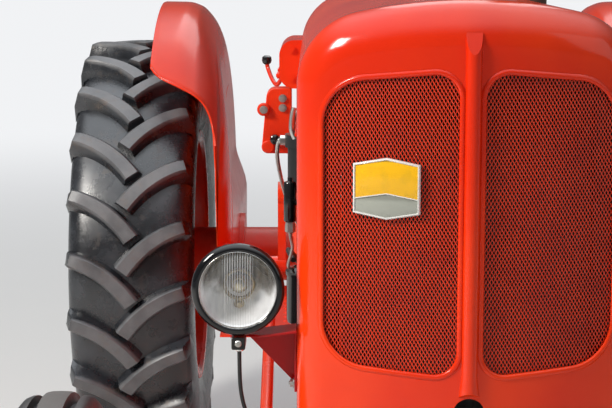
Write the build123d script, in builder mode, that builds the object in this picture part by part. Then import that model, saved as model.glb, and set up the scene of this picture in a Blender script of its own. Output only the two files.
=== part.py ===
from build123d import *
import os
from math import asin, atan2, cos, degrees, pi, radians, sin, sqrt, tan

os.makedirs("parts", exist_ok=True)

# The tractor stands on the ground at Z = 0 and faces -Y, with its left-hand side towards +X.
# Running gear: the wheels, the tracks and the wheelbase set the size of the whole machine.
wheelbase = 2030.0
rear_radius = 655.0
rear_track = 1510.0
rear_section = 345.0
rear_tread = 330.0
rear_seat_radius = 356.0
rear_rim_width = 304.0
lug_count = 23
lug_height = 38.0
lug_width = 46.0
lug_run = 128.0
lug_phase = 51.0
casing_sides = 2 * lug_count
front_radius = 380.0
front_track = 1460.0
front_section = 176.0
front_seat_radius = 203.0
front_rim_width = 128.0
kingpin_spread = 1200.0
running_fit = 0.05
seat_gap = 0.3
moving_gap = 5.0

# Nose cowl and bonnet.
nose_lead = 350.0
nose_top = 1494.0
cowl_bottom = 745.0
cowl_depth = 150.0
cowl_half_width = 280.0
cowl_corner_radius = 126.0
cowl_crown_radius = 800.0
cowl_edge_radius = 70.0
prow_radius = 200.0
prow_half_angle = 6.0
prow_side_radius = 720.0
prow_reach = 300.0
panel_wall = 3.0
ridge_width = 26.0
ridge_height = 12.0
ridge_foot_width = 34.0
ridge_top = 1444.0
crank_hole_radius = 26.0
crank_height = 828.0
bonnet_seam = 3.0
bonnet_bottom = 1262.0
bulkhead_gap = 30.0
scuttle_length = 235.0
scuttle_bottom = 1120.0
pod_half_width = 330.0
pod_top = 1372.0
pod_corner_radius = 34.0

# Engine and transmission: castings bolted end to end carry the whole machine.
engine_station = 430.0
engine_length = 700.0
engine_half_width = 150.0
sump_bottom = 560.0
sump_top = 740.0
block_top = 1110.0
head_top = 1215.0
rocker_top = 1285.0
bell_half_width = 205.0
bell_top = 1030.0
bell_bottom = 610.0
bell_depth = 60.0
clutch_length = 330.0
gearbox_half_width = 140.0
gearbox_top = 900.0
gearbox_bottom = 540.0
axle_case_half_length = 205.0
axle_case_half_width = 160.0

front_y = front_radius - (wheelbase + rear_radius + front_radius) / 2
rear_y = front_y + wheelbase
nose_y = front_y - nose_lead
seam_y = nose_y + cowl_depth
engine_front_y = nose_y + engine_station
engine_back_y = engine_front_y + engine_length
clutch_back_y = engine_back_y + clutch_length
bonnet_front_y = seam_y + bonnet_seam
bonnet_back_y = engine_back_y + bulkhead_gap
bonnet_length = bonnet_back_y - bonnet_front_y


def upright(y):
    """Plane facing the front at a station: local x is X and local y is the height."""
    return Plane.XZ.offset(-y)


def sideways(x):
    """Plane facing the left-hand side: local x is Y and local y is the height."""
    return Plane.YZ.offset(x)


def closed_face(plane, points):
    """Face inside a closed outline of straight runs."""
    with BuildSketch(plane) as face:
        with BuildLine():
            Polyline(*points, close=True)
        make_face()
    return face.sketch


def sheet_outline(points, thickness):
    """Closed outline of a bent sheet: its path, and the path again one thickness to the left of it."""
    path = [Vector(*point) for point in points]
    runs = [(after - before).normalized() for before, after in zip(path, path[1:])]
    normals = [Vector(-run.Y, run.X) for run in runs]
    pairs = zip(path, [normals[0]] + normals, normals + [normals[-1]])
    inner = [point + (a + b) * (thickness / (1 + a.dot(b))) for point, a, b in pairs]
    return [(point.X, point.Y) for point in path + inner[::-1]]


def turned(plane, outline):
    """Solid turned from a closed outline of (distance outward, radius) about the plane's own x line."""
    with BuildPart() as solid:
        revolve(closed_face(plane, outline), axis=Axis(plane.origin, plane.x_dir))
    return solid.part


def sectored(plane, outline, sides):
    """Ring of equal flat-sided sectors, from a closed outline of (distance outward, radius)."""
    half_turn = radians(180 / sides)
    outward = [distance for distance, radius in outline]
    reach = 1.1 * max(radius for distance, radius in outline)
    start = plane.origin + plane.x_dir * min(outward)
    side_view = Plane(start, x_dir=plane.z_dir.cross(plane.x_dir), z_dir=plane.x_dir)
    wedge = [(0, 0), (reach, -reach * tan(half_turn)), (reach, reach * tan(half_turn))]
    with BuildPart() as sector:
        extrude(closed_face(plane, outline), amount=reach * tan(half_turn), both=True)
        extrude(closed_face(side_view, wedge), amount=max(outward) - min(outward), mode=Mode.INTERSECT)
    axis = Axis(plane.origin, plane.x_dir)
    with BuildPart() as ring:
        add([sector.part.rotate(axis, 360 / sides * step) for step in range(sides)])
    return ring.part


def bar(start, end, radius):
    """Round bar between two points."""
    run = Vector(*end) - Vector(*start)
    with BuildPart() as solid:
        with BuildSketch(Plane(origin=start, z_dir=run)):
            Circle(radius)
        extrude(amount=run.length)
    return solid.part


def keep(part, node):
    """Names a finished piece and writes it."""
    part.label = node
    export_step(part, f"parts/{node}.step")


def keep_pair(part, node):
    """Writes the left-hand piece as built, and its mirror image for the right-hand side."""
    with BuildPart() as twin:
        mirror(part, about=Plane.YZ)
    keep(part, f"{node}_left")
    keep(twin.part, f"{node}_right")


# Rear wheels: a bias-ply tractor tyre with chevron lugs on a drop-centre rim, carried by a dished
# steel disc that bolts to the axle flange.
rear_x = rear_track / 2
rear_hub = Plane(origin=(rear_x, rear_y, rear_radius), x_dir=(1, 0, 0), z_dir=(0, -1, 0))
rear_axle = Axis(rear_hub.origin, (1, 0, 0))
rear_bulge = rear_section / 2
rear_shoulder = rear_tread / 2
rear_carcass_radius = rear_radius - lug_height
rear_flange_radius = rear_seat_radius + 25
rear_seat_half = rear_rim_width / 2
rear_well_radius = rear_seat_radius - 26
rim_wall = 8.0
bead_half = rear_seat_half - seat_gap
rear_casing = [
    (-bead_half, rear_seat_radius + seat_gap),
    (bead_half, rear_seat_radius + seat_gap),
    (bead_half, rear_flange_radius + seat_gap),
    (rear_bulge, rear_seat_radius + 140),
    (rear_shoulder - 36, rear_carcass_radius),
    (-rear_shoulder + 36, rear_carcass_radius),
    (-rear_bulge, rear_seat_radius + 140),
    (-bead_half, rear_flange_radius + seat_gap),
]
lug_root_radius = rear_carcass_radius - 55
lug_overlap = 12.0
lug_outer_x = rear_shoulder + 1
lug_reach = (lug_run + lug_width) / 2
lug_top = sqrt(rear_radius**2 - lug_reach**2)
# Centre line of a lug on the flattened tread: distance outward, then distance back round the tyre.
lug_path = [
    (-lug_overlap, -lug_run / 2),
    (rear_shoulder * 0.55, lug_run * 0.12),
    (rear_shoulder + lug_width, lug_run * 0.58),
]
lug_plane = Plane(
    origin=(rear_x, rear_y, rear_radius + lug_root_radius),
    x_dir=(1, 0, 0),
    z_dir=(0, 0, 1),
)
lug_outline = sheet_outline([(x, y - lug_width / 2) for x, y in lug_path], lug_width)
lug_side = [
    (-lug_overlap, lug_root_radius),
    (lug_outer_x, lug_root_radius),
    (lug_outer_x, lug_top - lug_height / 3),
    (rear_shoulder - lug_width, lug_top),
    (-lug_overlap, lug_top),
]
with BuildPart() as lug:
    extrude(closed_face(lug_plane, lug_outline), amount=rear_radius - lug_root_radius)
    extrude(closed_face(rear_hub, lug_side), amount=lug_run, both=True, mode=Mode.INTERSECT)
with BuildPart() as twin_lug:
    mirror(lug.part, about=Plane.YZ.offset(rear_x))
lug_pitch = 360 / lug_count
outer_turns = [90 - lug_phase + lug_pitch * turn for turn in range(lug_count)]
lugs = [lug.part.rotate(rear_axle, turn) for turn in outer_turns]
lugs += [twin_lug.part.rotate(rear_axle, turn + lug_pitch / 2) for turn in outer_turns]
with BuildPart() as rear_tyre:
    add(sectored(rear_hub, rear_casing, casing_sides))
    add(lugs)
keep_pair(rear_tyre.part, "rear_tyre")

well_half = 72.0
rear_rim_path = [
    (-rear_seat_half, rear_flange_radius),
    (-rear_seat_half, rear_seat_radius),
    (-well_half, rear_seat_radius),
    (-well_half, rear_well_radius),
    (well_half, rear_well_radius),
    (well_half, rear_seat_radius),
    (rear_seat_half, rear_seat_radius),
    (rear_seat_half, rear_flange_radius),
]
rear_rim_outline = sheet_outline(rear_rim_path[::-1], rim_wall)
disc_wall = 10.0
disc_seat = -60.0
disc_rim_x = 28.0
disc_bore = 62.0
disc_dish_radius = 215.0
disc_edge_radius = rear_well_radius - rim_wall - 22
rim_lug_count = 8
rim_lug_length = 70.0
rim_lug_depth = 48.0
rim_lug_wall = 12.0
rim_lug_middle = disc_edge_radius + 2
with BuildPart() as rim_lug:
    with BuildSketch(Plane.YZ.offset(rear_x + disc_rim_x)):
        with Locations((rear_y, rear_radius + rim_lug_middle)):
            Rectangle(rim_lug_length, rim_lug_depth)
    extrude(amount=rim_lug_wall)
with BuildPart() as rear_rim:
    add(sectored(rear_hub, rear_rim_outline, casing_sides))
    add([rim_lug.part.rotate(rear_axle, 360 / rim_lug_count * step) for step in range(rim_lug_count)])
keep_pair(rear_rim.part, "rear_rim")

rear_disc_path = [
    (disc_seat + disc_wall, disc_bore),
    (disc_seat + disc_wall, disc_dish_radius - 60),
    (disc_rim_x, disc_dish_radius),
    (disc_rim_x, disc_edge_radius + 14),
]
with BuildPart() as rear_disc:
    add(sectored(rear_hub, sheet_outline(rear_disc_path, disc_wall), casing_sides))
keep_pair(rear_disc.part, "rear_disc")

axle_shaft_radius = 35.0
axle_flange_radius = 115.0
axle_flange_wall = 20.0
axle_bearing_length = 115.0
flange_back = disc_seat - axle_flange_wall
axle_shaft_outline = [
    (flange_back - moving_gap - axle_bearing_length, 0),
    (flange_back - moving_gap - axle_bearing_length, axle_shaft_radius),
    (flange_back, axle_shaft_radius),
    (flange_back, axle_flange_radius),
    (disc_seat, axle_flange_radius),
    (disc_seat, disc_bore - 1),
    (disc_seat + disc_wall + 18, disc_bore - 1),
    (disc_seat + disc_wall + 18, 0),
]
with BuildPart() as axle_shaft:
    add(turned(rear_hub, axle_shaft_outline))
keep_pair(axle_shaft.part, "axle_shaft")

# Front wheels: ribbed implement tyres on one-piece disc wheels with their hubs.
front_x = front_track / 2
front_hub = Plane(origin=(front_x, front_y, front_radius), x_dir=(1, 0, 0), z_dir=(0, -1, 0))
front_bulge = front_section / 2
front_flange_radius = front_seat_radius + 18
front_seat_half = front_rim_width / 2
front_rim_wall = 5.0
front_casing_sides = 24
front_rib_half = 18.0
front_crown_half = 52.0
front_bead_half = front_seat_half - seat_gap
front_casing = [
    (-front_bead_half, front_seat_radius + seat_gap),
    (front_bead_half, front_seat_radius + seat_gap),
    (front_bead_half, front_flange_radius + seat_gap),
    (front_bulge, front_seat_radius + 92),
    (front_crown_half + 14, front_radius - 24),
    (front_rib_half, front_radius - 2),
    (-front_rib_half, front_radius - 2),
    (-front_crown_half - 14, front_radius - 24),
    (-front_bulge, front_seat_radius + 92),
    (-front_bead_half, front_flange_radius + seat_gap),
]
with BuildPart() as front_tyre:
    add(sectored(front_hub, front_casing, front_casing_sides))
keep_pair(front_tyre.part, "front_tyre")

stub_radius = 20.0
hub_radius = 48.0
hub_inner = -82.0
hub_outer = 34.0
front_well_radius = front_seat_radius - 20
front_well_half = 36.0
front_rim_path = [
    (-front_seat_half, front_flange_radius),
    (-front_seat_half, front_seat_radius),
    (-front_well_half, front_seat_radius),
    (-front_well_half, front_well_radius),
    (front_well_half, front_well_radius),
    (front_well_half, front_seat_radius),
    (front_seat_half, front_seat_radius),
    (front_seat_half, front_flange_radius),
]
front_disc_wall = 6.0
front_disc_path = [
    (-front_disc_wall, hub_radius - 4),
    (-front_disc_wall, 98),
    (12, 98),
    (12, front_well_radius - front_rim_wall + 1),
]
hub_flange_radius = hub_radius + 34
hub_flange_wall = 8.0
hub_outline = [
    (hub_inner, stub_radius + running_fit),
    (hub_inner, hub_radius),
    (-front_disc_wall - hub_flange_wall, hub_radius),
    (-front_disc_wall - hub_flange_wall, hub_flange_radius),
    (-front_disc_wall, hub_flange_radius),
    (-front_disc_wall, hub_radius - 4),
    (hub_outer + 12, hub_radius - 4),
    (hub_outer + 12, 0),
    (hub_outer + 4, 0),
    (hub_outer + 4, stub_radius + running_fit),
]
with BuildPart() as front_rim:
    add(sectored(front_hub, sheet_outline(front_rim_path[::-1], front_rim_wall), front_casing_sides))
    add(sectored(front_hub, sheet_outline(front_disc_path, front_disc_wall), front_casing_sides))
    add(turned(front_hub, hub_outline))
keep_pair(front_rim.part, "front_rim")

# Front axle: a fabricated beam rocks on a pin along Y, with kingpin bosses at its ends.
kingpin_x = kingpin_spread / 2
kingpin_radius = 18.0
boss_radius = 36.0
boss_bottom = front_radius + 48
boss_top = front_radius + 275
beam_pivot_z = front_radius + 145
beam_depth_y = 80.0
beam_pin_radius = 20.0
beam_outline = [
    (-kingpin_x, beam_pivot_z - 16),
    (-170, beam_pivot_z - 46),
    (170, beam_pivot_z - 46),
    (kingpin_x, beam_pivot_z - 16),
    (kingpin_x, beam_pivot_z + 52),
    (170, beam_pivot_z + 46),
    (-170, beam_pivot_z + 46),
    (-kingpin_x, beam_pivot_z + 52),
]
beam_plane = upright(front_y + beam_depth_y / 2)
with BuildPart() as axle_beam:
    extrude(closed_face(beam_plane, beam_outline), amount=beam_depth_y)
    with BuildSketch(Plane.XY.offset(boss_bottom)):
        with Locations((kingpin_x, front_y), (-kingpin_x, front_y)):
            Circle(boss_radius)
    extrude(amount=boss_top - boss_bottom)
    with BuildSketch(Plane.XY.offset(boss_bottom)):
        with Locations((kingpin_x, front_y), (-kingpin_x, front_y)):
            Circle(kingpin_radius + running_fit)
    extrude(amount=boss_top - boss_bottom, mode=Mode.SUBTRACT)
    with BuildSketch(beam_plane):
        with Locations((0, beam_pivot_z)):
            Circle(beam_pin_radius + running_fit)
    extrude(amount=beam_depth_y, mode=Mode.SUBTRACT)
axle_beam.part.label = "axle_beam"
export_step(axle_beam.part, "parts/axle_beam.step")

# Knuckles: kingpin, stub axle and the rearward arm for the track rod; the right-hand one also has
# the inward arm that the drag link moves.
tie_arm_length = 130.0
tie_arm_bottom = front_radius - 40
tie_arm_wall = 22.0
steer_arm_length = 100.0
steer_arm_bottom = boss_top + seat_gap
steer_arm_wall = 24.0
kingpin_cap_radius = 32.0
kingpin_cap_wall = 14.0
yoke_radius = 33.0
stub_root_radius = 26.0
yoke_top = boss_bottom - seat_gap
with BuildPart() as knuckle:
    with BuildSketch(Plane.XY.offset(yoke_top)):
        with Locations((kingpin_x, front_y)):
            Circle(kingpin_radius)
    extrude(amount=steer_arm_bottom + steer_arm_wall + 8 - yoke_top)
    with BuildSketch(Plane.XY.offset(tie_arm_bottom)):
        with Locations((kingpin_x, front_y)):
            Circle(yoke_radius)
    extrude(amount=yoke_top - tie_arm_bottom)
    with BuildSketch(Plane.XY.offset(tie_arm_bottom)):
        with BuildLine():
            Polyline(
                (kingpin_x - 22, front_y),
                (kingpin_x + 22, front_y),
                (kingpin_x + 15, front_y + tie_arm_length),
                (kingpin_x - 15, front_y + tie_arm_length),
                close=True,
            )
        make_face()
        with Locations((kingpin_x, front_y + tie_arm_length)):
            Circle(24)
    extrude(amount=tie_arm_wall)
    stub_root = (kingpin_x, front_y, front_radius)
    add(bar(stub_root, (front_x + hub_inner, front_y, front_radius), stub_root_radius))
    add(bar(stub_root, (front_x + hub_outer, front_y, front_radius), stub_radius))
steer_eye_x = -kingpin_x + steer_arm_length
with BuildPart() as knuckle_left:
    add(knuckle.part)
    with BuildSketch(Plane.XY.offset(steer_arm_bottom)):
        with Locations((kingpin_x, front_y)):
            Circle(kingpin_cap_radius)
    extrude(amount=kingpin_cap_wall)
knuckle_left.part.label = "knuckle_left"
export_step(knuckle_left.part, "parts/knuckle_left.step")
with BuildPart() as knuckle_right:
    mirror(knuckle.part, about=Plane.YZ)
    with BuildSketch(Plane.XY.offset(steer_arm_bottom)):
        with BuildLine():
            Polyline(
                (-kingpin_x, front_y - 24),
                (-kingpin_x, front_y + 24),
                (steer_eye_x, front_y + 15),
                (steer_eye_x, front_y - 15),
                close=True,
            )
        make_face()
        with Locations((-kingpin_x, front_y)):
            Circle(kingpin_cap_radius)
        with Locations((steer_eye_x, front_y)):
            Circle(22)
    extrude(amount=steer_arm_wall)
knuckle_right.part.label = "knuckle_right"
export_step(knuckle_right.part, "parts/knuckle_right.step")

# Track rod and drag link: bars with ball ends that sit just clear of the arms they join.
tie_y = front_y + tie_arm_length
rod_radius = 13.0
rod_end_radius = 20.0
rod_end_height = 32.0
tie_rod_z = tie_arm_bottom - seat_gap - rod_end_height / 2
with BuildPart() as track_rod:
    with BuildSketch(Plane.XY.offset(tie_rod_z - rod_end_height / 2)):
        with Locations((kingpin_x, tie_y), (-kingpin_x, tie_y)):
            Circle(rod_end_radius)
    extrude(amount=rod_end_height)
    add(bar((-kingpin_x, tie_y, tie_rod_z), (kingpin_x, tie_y, tie_rod_z), rod_radius))
track_rod.part.label = "track_rod"
export_step(track_rod.part, "parts/track_rod.step")

steer_box_setback = 85.0
steer_box_y = clutch_back_y + steer_box_setback
sector_z = gearbox_top + 62
drop_arm_length = 180.0
drop_arm_x = -322.0
drop_arm_wall = 20.0
link_radius = 13.0
link_bend_radius = 80.0
link_front_z = steer_arm_bottom + steer_arm_wall + seat_gap + rod_end_height / 2
link_back_x = drop_arm_x - drop_arm_wall - seat_gap - rod_end_height / 2
link_back_z = sector_z - drop_arm_length
# The link drops from the steering arm, then rises straight to the drop arm.
link_route = [
    (steer_eye_x, front_y, link_front_z),
    (steer_eye_x + 62, front_y + 104, link_front_z - 13),
    (steer_eye_x + 153, front_y + 262, link_front_z - 58),
    (link_back_x, steer_box_y, link_back_z),
]
link_start = Vector(*link_route[1]) - Vector(*link_route[0])
with BuildPart() as drag_link:
    with BuildLine():
        FilletPolyline(*link_route, radius=link_bend_radius)
    with BuildSketch(Plane(origin=link_route[0], z_dir=link_start)):
        Circle(link_radius)
    sweep()
    with BuildSketch(Plane.XY.offset(link_front_z - rod_end_height / 2)):
        with Locations((steer_eye_x, front_y)):
            Circle(rod_end_radius)
    extrude(amount=rod_end_height)
    with BuildSketch(sideways(link_back_x - rod_end_height / 2)):
        with Locations((steer_box_y, link_back_z)):
            Circle(rod_end_radius)
    extrude(amount=rod_end_height)
drag_link.part.label = "drag_link"
export_step(drag_link.part, "parts/drag_link.step")

sector_radius = 18.0
sector_seat_x = 69.0
with BuildPart() as drop_arm:
    with BuildSketch(Plane.YZ.offset(drop_arm_x)):
        with BuildLine():
            Polyline(
                (steer_box_y - 26, sector_z),
                (steer_box_y - 15, sector_z - drop_arm_length),
                (steer_box_y + 15, sector_z - drop_arm_length),
                (steer_box_y + 26, sector_z),
                close=True,
            )
        make_face()
        with Locations((steer_box_y, sector_z)):
            Circle(32)
        with Locations((steer_box_y, sector_z - drop_arm_length)):
            Circle(20)
    extrude(amount=-drop_arm_wall)
    sector_start = (drop_arm_x - drop_arm_wall, steer_box_y, sector_z)
    sector_stop = (-sector_seat_x - 1, steer_box_y, sector_z)
    add(bar(sector_start, sector_stop, sector_radius))
drop_arm.part.label = "drop_arm"
export_step(drop_arm.part, "parts/drop_arm.step")

# Steering box on the gearbox, with the column tube up to the wheel.
steer_box_width = 120.0
steer_box_length = 150.0
steer_box_height = 118.0
steer_box_corner = 20.0
sector_boss_radius = 34.0
wheel_setback = 385.0
wheel_height = 1400.0
wheel_centre = Vector(0, steer_box_y + wheel_setback, wheel_height)
box_centre = Vector(0, steer_box_y, sector_z)
column_run = (wheel_centre - box_centre).normalized()
column_radius = 24.0
column_gap = 60.0
column_bore_depth = 120.0
steer_shaft_radius = 11.0
column_end = wheel_centre - column_run * column_gap
boss_end = (drop_arm_x + seat_gap, steer_box_y, sector_z)
with BuildPart() as steering_box:
    with BuildSketch(Plane.XY.offset(gearbox_top)):
        with Locations((0, steer_box_y)):
            RectangleRounded(steer_box_width, steer_box_length, steer_box_corner)
    extrude(amount=steer_box_height)
    add(bar((-steer_box_width / 2, steer_box_y, sector_z), boss_end, sector_boss_radius))
    add(bar(box_centre, column_end, column_radius))
    sector_end = (-sector_seat_x, steer_box_y, sector_z)
    add(bar(boss_end, sector_end, sector_radius + running_fit), mode=Mode.SUBTRACT)
    bore_end = column_end - column_run * column_bore_depth
    add(bar(column_end, bore_end, steer_shaft_radius + running_fit), mode=Mode.SUBTRACT)
steering_box.part.label = "steering_box"
export_step(steering_box.part, "parts/steering_box.step")

steering_radius = 228.0
grip_width = 26.0
grip_height = 22.0
wheel_hub_radius = 34.0
wheel_hub_height = 40.0
spoke_count = 3
spoke_width = 20.0
spoke_wall = 6.0
wheel_plane = Plane(origin=wheel_centre, x_dir=(1, 0, 0), z_dir=column_run)
with BuildPart() as steering_wheel:
    with BuildSketch(wheel_plane.offset(-grip_height / 2)):
        Circle(steering_radius)
        Circle(steering_radius - grip_width, mode=Mode.SUBTRACT)
    extrude(amount=grip_height)
    with BuildSketch(wheel_plane.offset(-wheel_hub_height / 2)):
        Circle(wheel_hub_radius)
    extrude(amount=wheel_hub_height)
    with BuildSketch(wheel_plane.offset(-spoke_wall / 2)):
        with PolarLocations(0, spoke_count, start_angle=90):
            with Locations((steering_radius / 2 - grip_width / 4, 0)):
                Rectangle(steering_radius - grip_width / 2, spoke_width)
    extrude(amount=spoke_wall)
    with BuildSketch(wheel_plane):
        Circle(steer_shaft_radius)
    extrude(amount=-column_gap - column_bore_depth + seat_gap)
keep(steering_wheel.part, "steering_wheel")

# Nose cowl: a pressed shell whose front swells to a soft prow, with a raised ridge down the middle,
# a mesh opening each side of it and the starting-handle hole below.
def arch_face(plane, half_width, top, corner_radius, crown_radius, bottom, inset=0.0):
    """Front outline of the cowl, bonnet and scuttle: upright sides, round corners and a flat crown."""
    corner_x = half_width - corner_radius
    crown_z = top - crown_radius
    corner_z = crown_z + sqrt((crown_radius - corner_radius) ** 2 - corner_x**2)
    corner_turn = degrees(atan2(corner_z - crown_z, corner_x))
    half = half_width - inset
    with BuildSketch(plane) as face:
        with BuildLine():
            side = Line((half, bottom), (half, corner_z))
            first = JernArc(side @ 1, side % 1, corner_radius - inset, corner_turn)
            over = JernArc(first @ 1, first % 1, crown_radius - inset, 180 - 2 * corner_turn)
            last = JernArc(over @ 1, over % 1, corner_radius - inset, corner_turn)
            Polyline(last @ 1, (-half, bottom), (half, bottom))
        make_face()
    return face.sketch


prow_shift = (prow_side_radius - prow_radius) * sin(radians(prow_half_angle))
prow_side_y = nose_y + prow_radius + (prow_side_radius - prow_radius) * cos(radians(prow_half_angle))


def prow_face(z, inset, back_y):
    """Plan outline of the nose: a tight arc at the ridge that runs into a long arc to each side."""
    middle = prow_radius - inset
    side = prow_side_radius - inset
    sweep = degrees(asin((prow_reach + prow_shift) / side)) - prow_half_angle
    with BuildSketch(Plane.XY.offset(z)) as face:
        with BuildLine():
            CenterArc((0, nose_y + prow_radius), middle, 270 - prow_half_angle, 2 * prow_half_angle)
            right = CenterArc((-prow_shift, prow_side_y), side, 270 + prow_half_angle, sweep)
            left = CenterArc((prow_shift, prow_side_y), side, 270 - prow_half_angle, -sweep)
            Polyline(right @ 1, (prow_reach, back_y), (-prow_reach, back_y), left @ 1)
        make_face()
    return face.sketch


def cowl_block(inset, back_y, bottom):
    """The nose as a solid block, drawn in by an inset all round."""
    cowl_sizes = (cowl_half_width, nose_top, cowl_corner_radius, cowl_crown_radius)
    with BuildPart() as block:
        extrude(arch_face(upright(back_y), *cowl_sizes, bottom, inset), amount=back_y - nose_y + 10)
        extrude(prow_face(bottom - 1, inset, back_y + 1), amount=nose_top - bottom + 10, mode=Mode.INTERSECT)
        ahead = block.edges().filter_by(lambda edge: edge.center().Y < back_y - 1)
        above = ahead.filter_by(lambda edge: edge.center().Z > bottom + 1)
        rim = above.filter_by(lambda edge: abs(edge.center().X) > 50 or edge.center().Z > nose_top - 50)
        fillet(rim, cowl_edge_radius - inset)
    return block.part


opening_inner = 20.0
opening_outer = 237.0
opening_top_inner = 1382.0
opening_top_outer = 1362.0
opening_bottom_inner = 888.0
opening_bottom_outer = 904.0
opening_outer_radius = 72.0
opening_inner_radius = 38.0


def opening_face(plane, margin):
    """Outline of the left-hand grille opening, grown all round by a margin."""
    with BuildSketch(plane) as face:
        with BuildLine():
            Polyline(
                (opening_inner - margin, opening_bottom_inner - margin),
                (opening_outer + margin, opening_bottom_outer - margin),
                (opening_outer + margin, opening_top_outer + margin),
                (opening_inner - margin, opening_top_inner + margin),
                close=True,
            )
        make_face()
        fillet(face.vertices().group_by(Axis.X)[-1], opening_outer_radius + margin)
        fillet(face.vertices().group_by(Axis.X)[0], opening_inner_radius + margin)
    return face.sketch


ridge_bottom = crank_height + crank_hole_radius + 2
ridge_root_y = nose_y + 1.5
ridge_crest_y = nose_y - ridge_height
ridge_blend = 34.0
ridge_waist_z = ridge_bottom + ridge_blend
with BuildPart() as ridge:
    for z, half in ((ridge_bottom, ridge_foot_width / 2), (ridge_waist_z, ridge_width / 2)):
        with BuildSketch(Plane.XY.offset(z)):
            with BuildLine():
                ThreePointArc((-half, ridge_root_y), (0, ridge_crest_y), (half, ridge_root_y))
                Line((half, ridge_root_y), (-half, ridge_root_y))
            make_face()
    loft()
    extrude(ridge.faces().sort_by(Axis.Z)[-1], amount=ridge_top - ridge_waist_z)
    with BuildSketch(sideways(-ridge_foot_width)):
        with BuildLine():
            Polyline(
                (ridge_root_y, ridge_bottom),
                (ridge_crest_y, ridge_bottom + 8),
                (ridge_crest_y, ridge_top - ridge_blend),
                (ridge_root_y, ridge_top),
                close=True,
            )
        make_face()
    extrude(amount=2 * ridge_foot_width, mode=Mode.INTERSECT)
with BuildPart() as openings:
    extrude(opening_face(upright(nose_y + 90), 0), amount=110)
    mirror(about=Plane.YZ)
    with BuildSketch(upright(nose_y + 50)):
        with Locations((0, crank_height)):
            Circle(crank_hole_radius)
    extrude(amount=80)
with BuildPart() as nose_cowl:
    add(cowl_block(0, seam_y, cowl_bottom))
    add(ridge.part)
    add(cowl_block(panel_wall, seam_y + 5, cowl_bottom - 5), mode=Mode.SUBTRACT)
    add(openings.part, mode=Mode.SUBTRACT)
nose_cowl.part.label = "nose_cowl"
export_step(nose_cowl.part, "parts/nose_cowl.step")

mesh_wall = 2.0
mesh_margin = 12.0
mesh_front = panel_wall + seat_gap
with BuildPart() as grille_mesh:
    add(cowl_block(mesh_front, seam_y, cowl_bottom))
    add(cowl_block(mesh_front + mesh_wall, seam_y + 1, cowl_bottom - 1), mode=Mode.SUBTRACT)
    extrude(opening_face(upright(seam_y), mesh_margin), amount=cowl_depth + 20, mode=Mode.INTERSECT)
    mirror(about=Plane.YZ)
grille_mesh.part.label = "grille_mesh"
export_step(grille_mesh.part, "parts/grille_mesh.step")

# Shield badge on the right-hand mesh: bare, six-sided, with peaked top and bottom edges.
badge_x = -134.0
badge_z = 1194.0
badge_half_width = 55.0
badge_shoulder = 40.0
badge_peak = 50.0
badge_wall = 8.0
badge_arc = prow_side_radius - mesh_front
badge_turn = asin((-badge_x + prow_shift) / badge_arc)
badge_y = prow_side_y - (badge_arc + seat_gap) * cos(badge_turn)
badge_plane = Plane(
    origin=(badge_x, badge_y, badge_z),
    x_dir=(cos(badge_turn), -sin(badge_turn), 0),
    z_dir=(-sin(badge_turn), -cos(badge_turn), 0),
)
with BuildPart() as badge:
    with BuildSketch(badge_plane):
        with BuildLine():
            Polyline(
                (-badge_half_width, -badge_shoulder),
                (0, -badge_peak),
                (badge_half_width, -badge_shoulder),
                (badge_half_width, badge_shoulder),
                (0, badge_peak),
                (-badge_half_width, badge_shoulder),
                close=True,
            )
        make_face()
    extrude(amount=badge_wall)
badge.part.label = "badge"
export_step(badge.part, "parts/badge.step")

# Bonnet over the engine, and the scuttle behind it with a pod on each side and the dash panel.
exhaust_x = 182.0
exhaust_setback = 270.0
exhaust_y = engine_front_y + exhaust_setback
exhaust_radius = 28.0
bonnet_sizes = (cowl_half_width, nose_top, cowl_corner_radius, cowl_crown_radius)
with BuildPart() as bonnet:
    extrude(arch_face(upright(bonnet_back_y), *bonnet_sizes, bonnet_bottom), amount=bonnet_length)
    extrude(
        arch_face(upright(bonnet_back_y + 1), *bonnet_sizes, bonnet_bottom - 1, panel_wall),
        amount=bonnet_length + 2,
        mode=Mode.SUBTRACT,
    )
    with BuildSketch(Plane.XY.offset(nose_top - 100)):
        with Locations((exhaust_x, exhaust_y)):
            Circle(exhaust_radius + 12)
    extrude(amount=200, mode=Mode.SUBTRACT)
bonnet.part.label = "bonnet"
export_step(bonnet.part, "parts/bonnet.step")

scuttle_back_y = bonnet_back_y + scuttle_length
bulkhead_wall = 6.0
bulkhead_foot = 150.0
panel_inset = 30.0
panel_bottom = 1180.0
filler_radius = 38.0
filler_height = 26.0
pod_height = pod_top - bonnet_bottom
with BuildPart() as scuttle:
    extrude(arch_face(upright(scuttle_back_y), *bonnet_sizes, scuttle_bottom), amount=scuttle_length)
    with BuildSketch(upright(scuttle_back_y)):
        with Locations((0, bonnet_bottom + pod_height / 2)):
            RectangleRounded(2 * pod_half_width, pod_height, pod_corner_radius)
    extrude(amount=scuttle_length)
    extrude(
        arch_face(upright(scuttle_back_y + 1), *bonnet_sizes, scuttle_bottom - 1, panel_wall),
        amount=scuttle_length + 1 - bulkhead_wall,
        mode=Mode.SUBTRACT,
    )
    with BuildSketch(upright(bonnet_back_y + bulkhead_wall)):
        with BuildLine():
            Polyline(
                (-bulkhead_foot, bell_top),
                (bulkhead_foot, bell_top),
                (cowl_half_width - panel_wall, scuttle_bottom + 10),
                (-cowl_half_width + panel_wall, scuttle_bottom + 10),
                close=True,
            )
        make_face()
    extrude(amount=bulkhead_wall)
    panel_y = scuttle_back_y - panel_inset
    extrude(arch_face(upright(panel_y), *bonnet_sizes, panel_bottom, panel_wall), amount=panel_wall)
    with BuildSketch(Plane.XY.offset(nose_top - panel_wall)):
        with Locations((0, bonnet_back_y + scuttle_length / 2)):
            Circle(filler_radius)
    extrude(amount=filler_height)
scuttle.part.label = "scuttle"
export_step(scuttle.part, "parts/scuttle.step")

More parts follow.
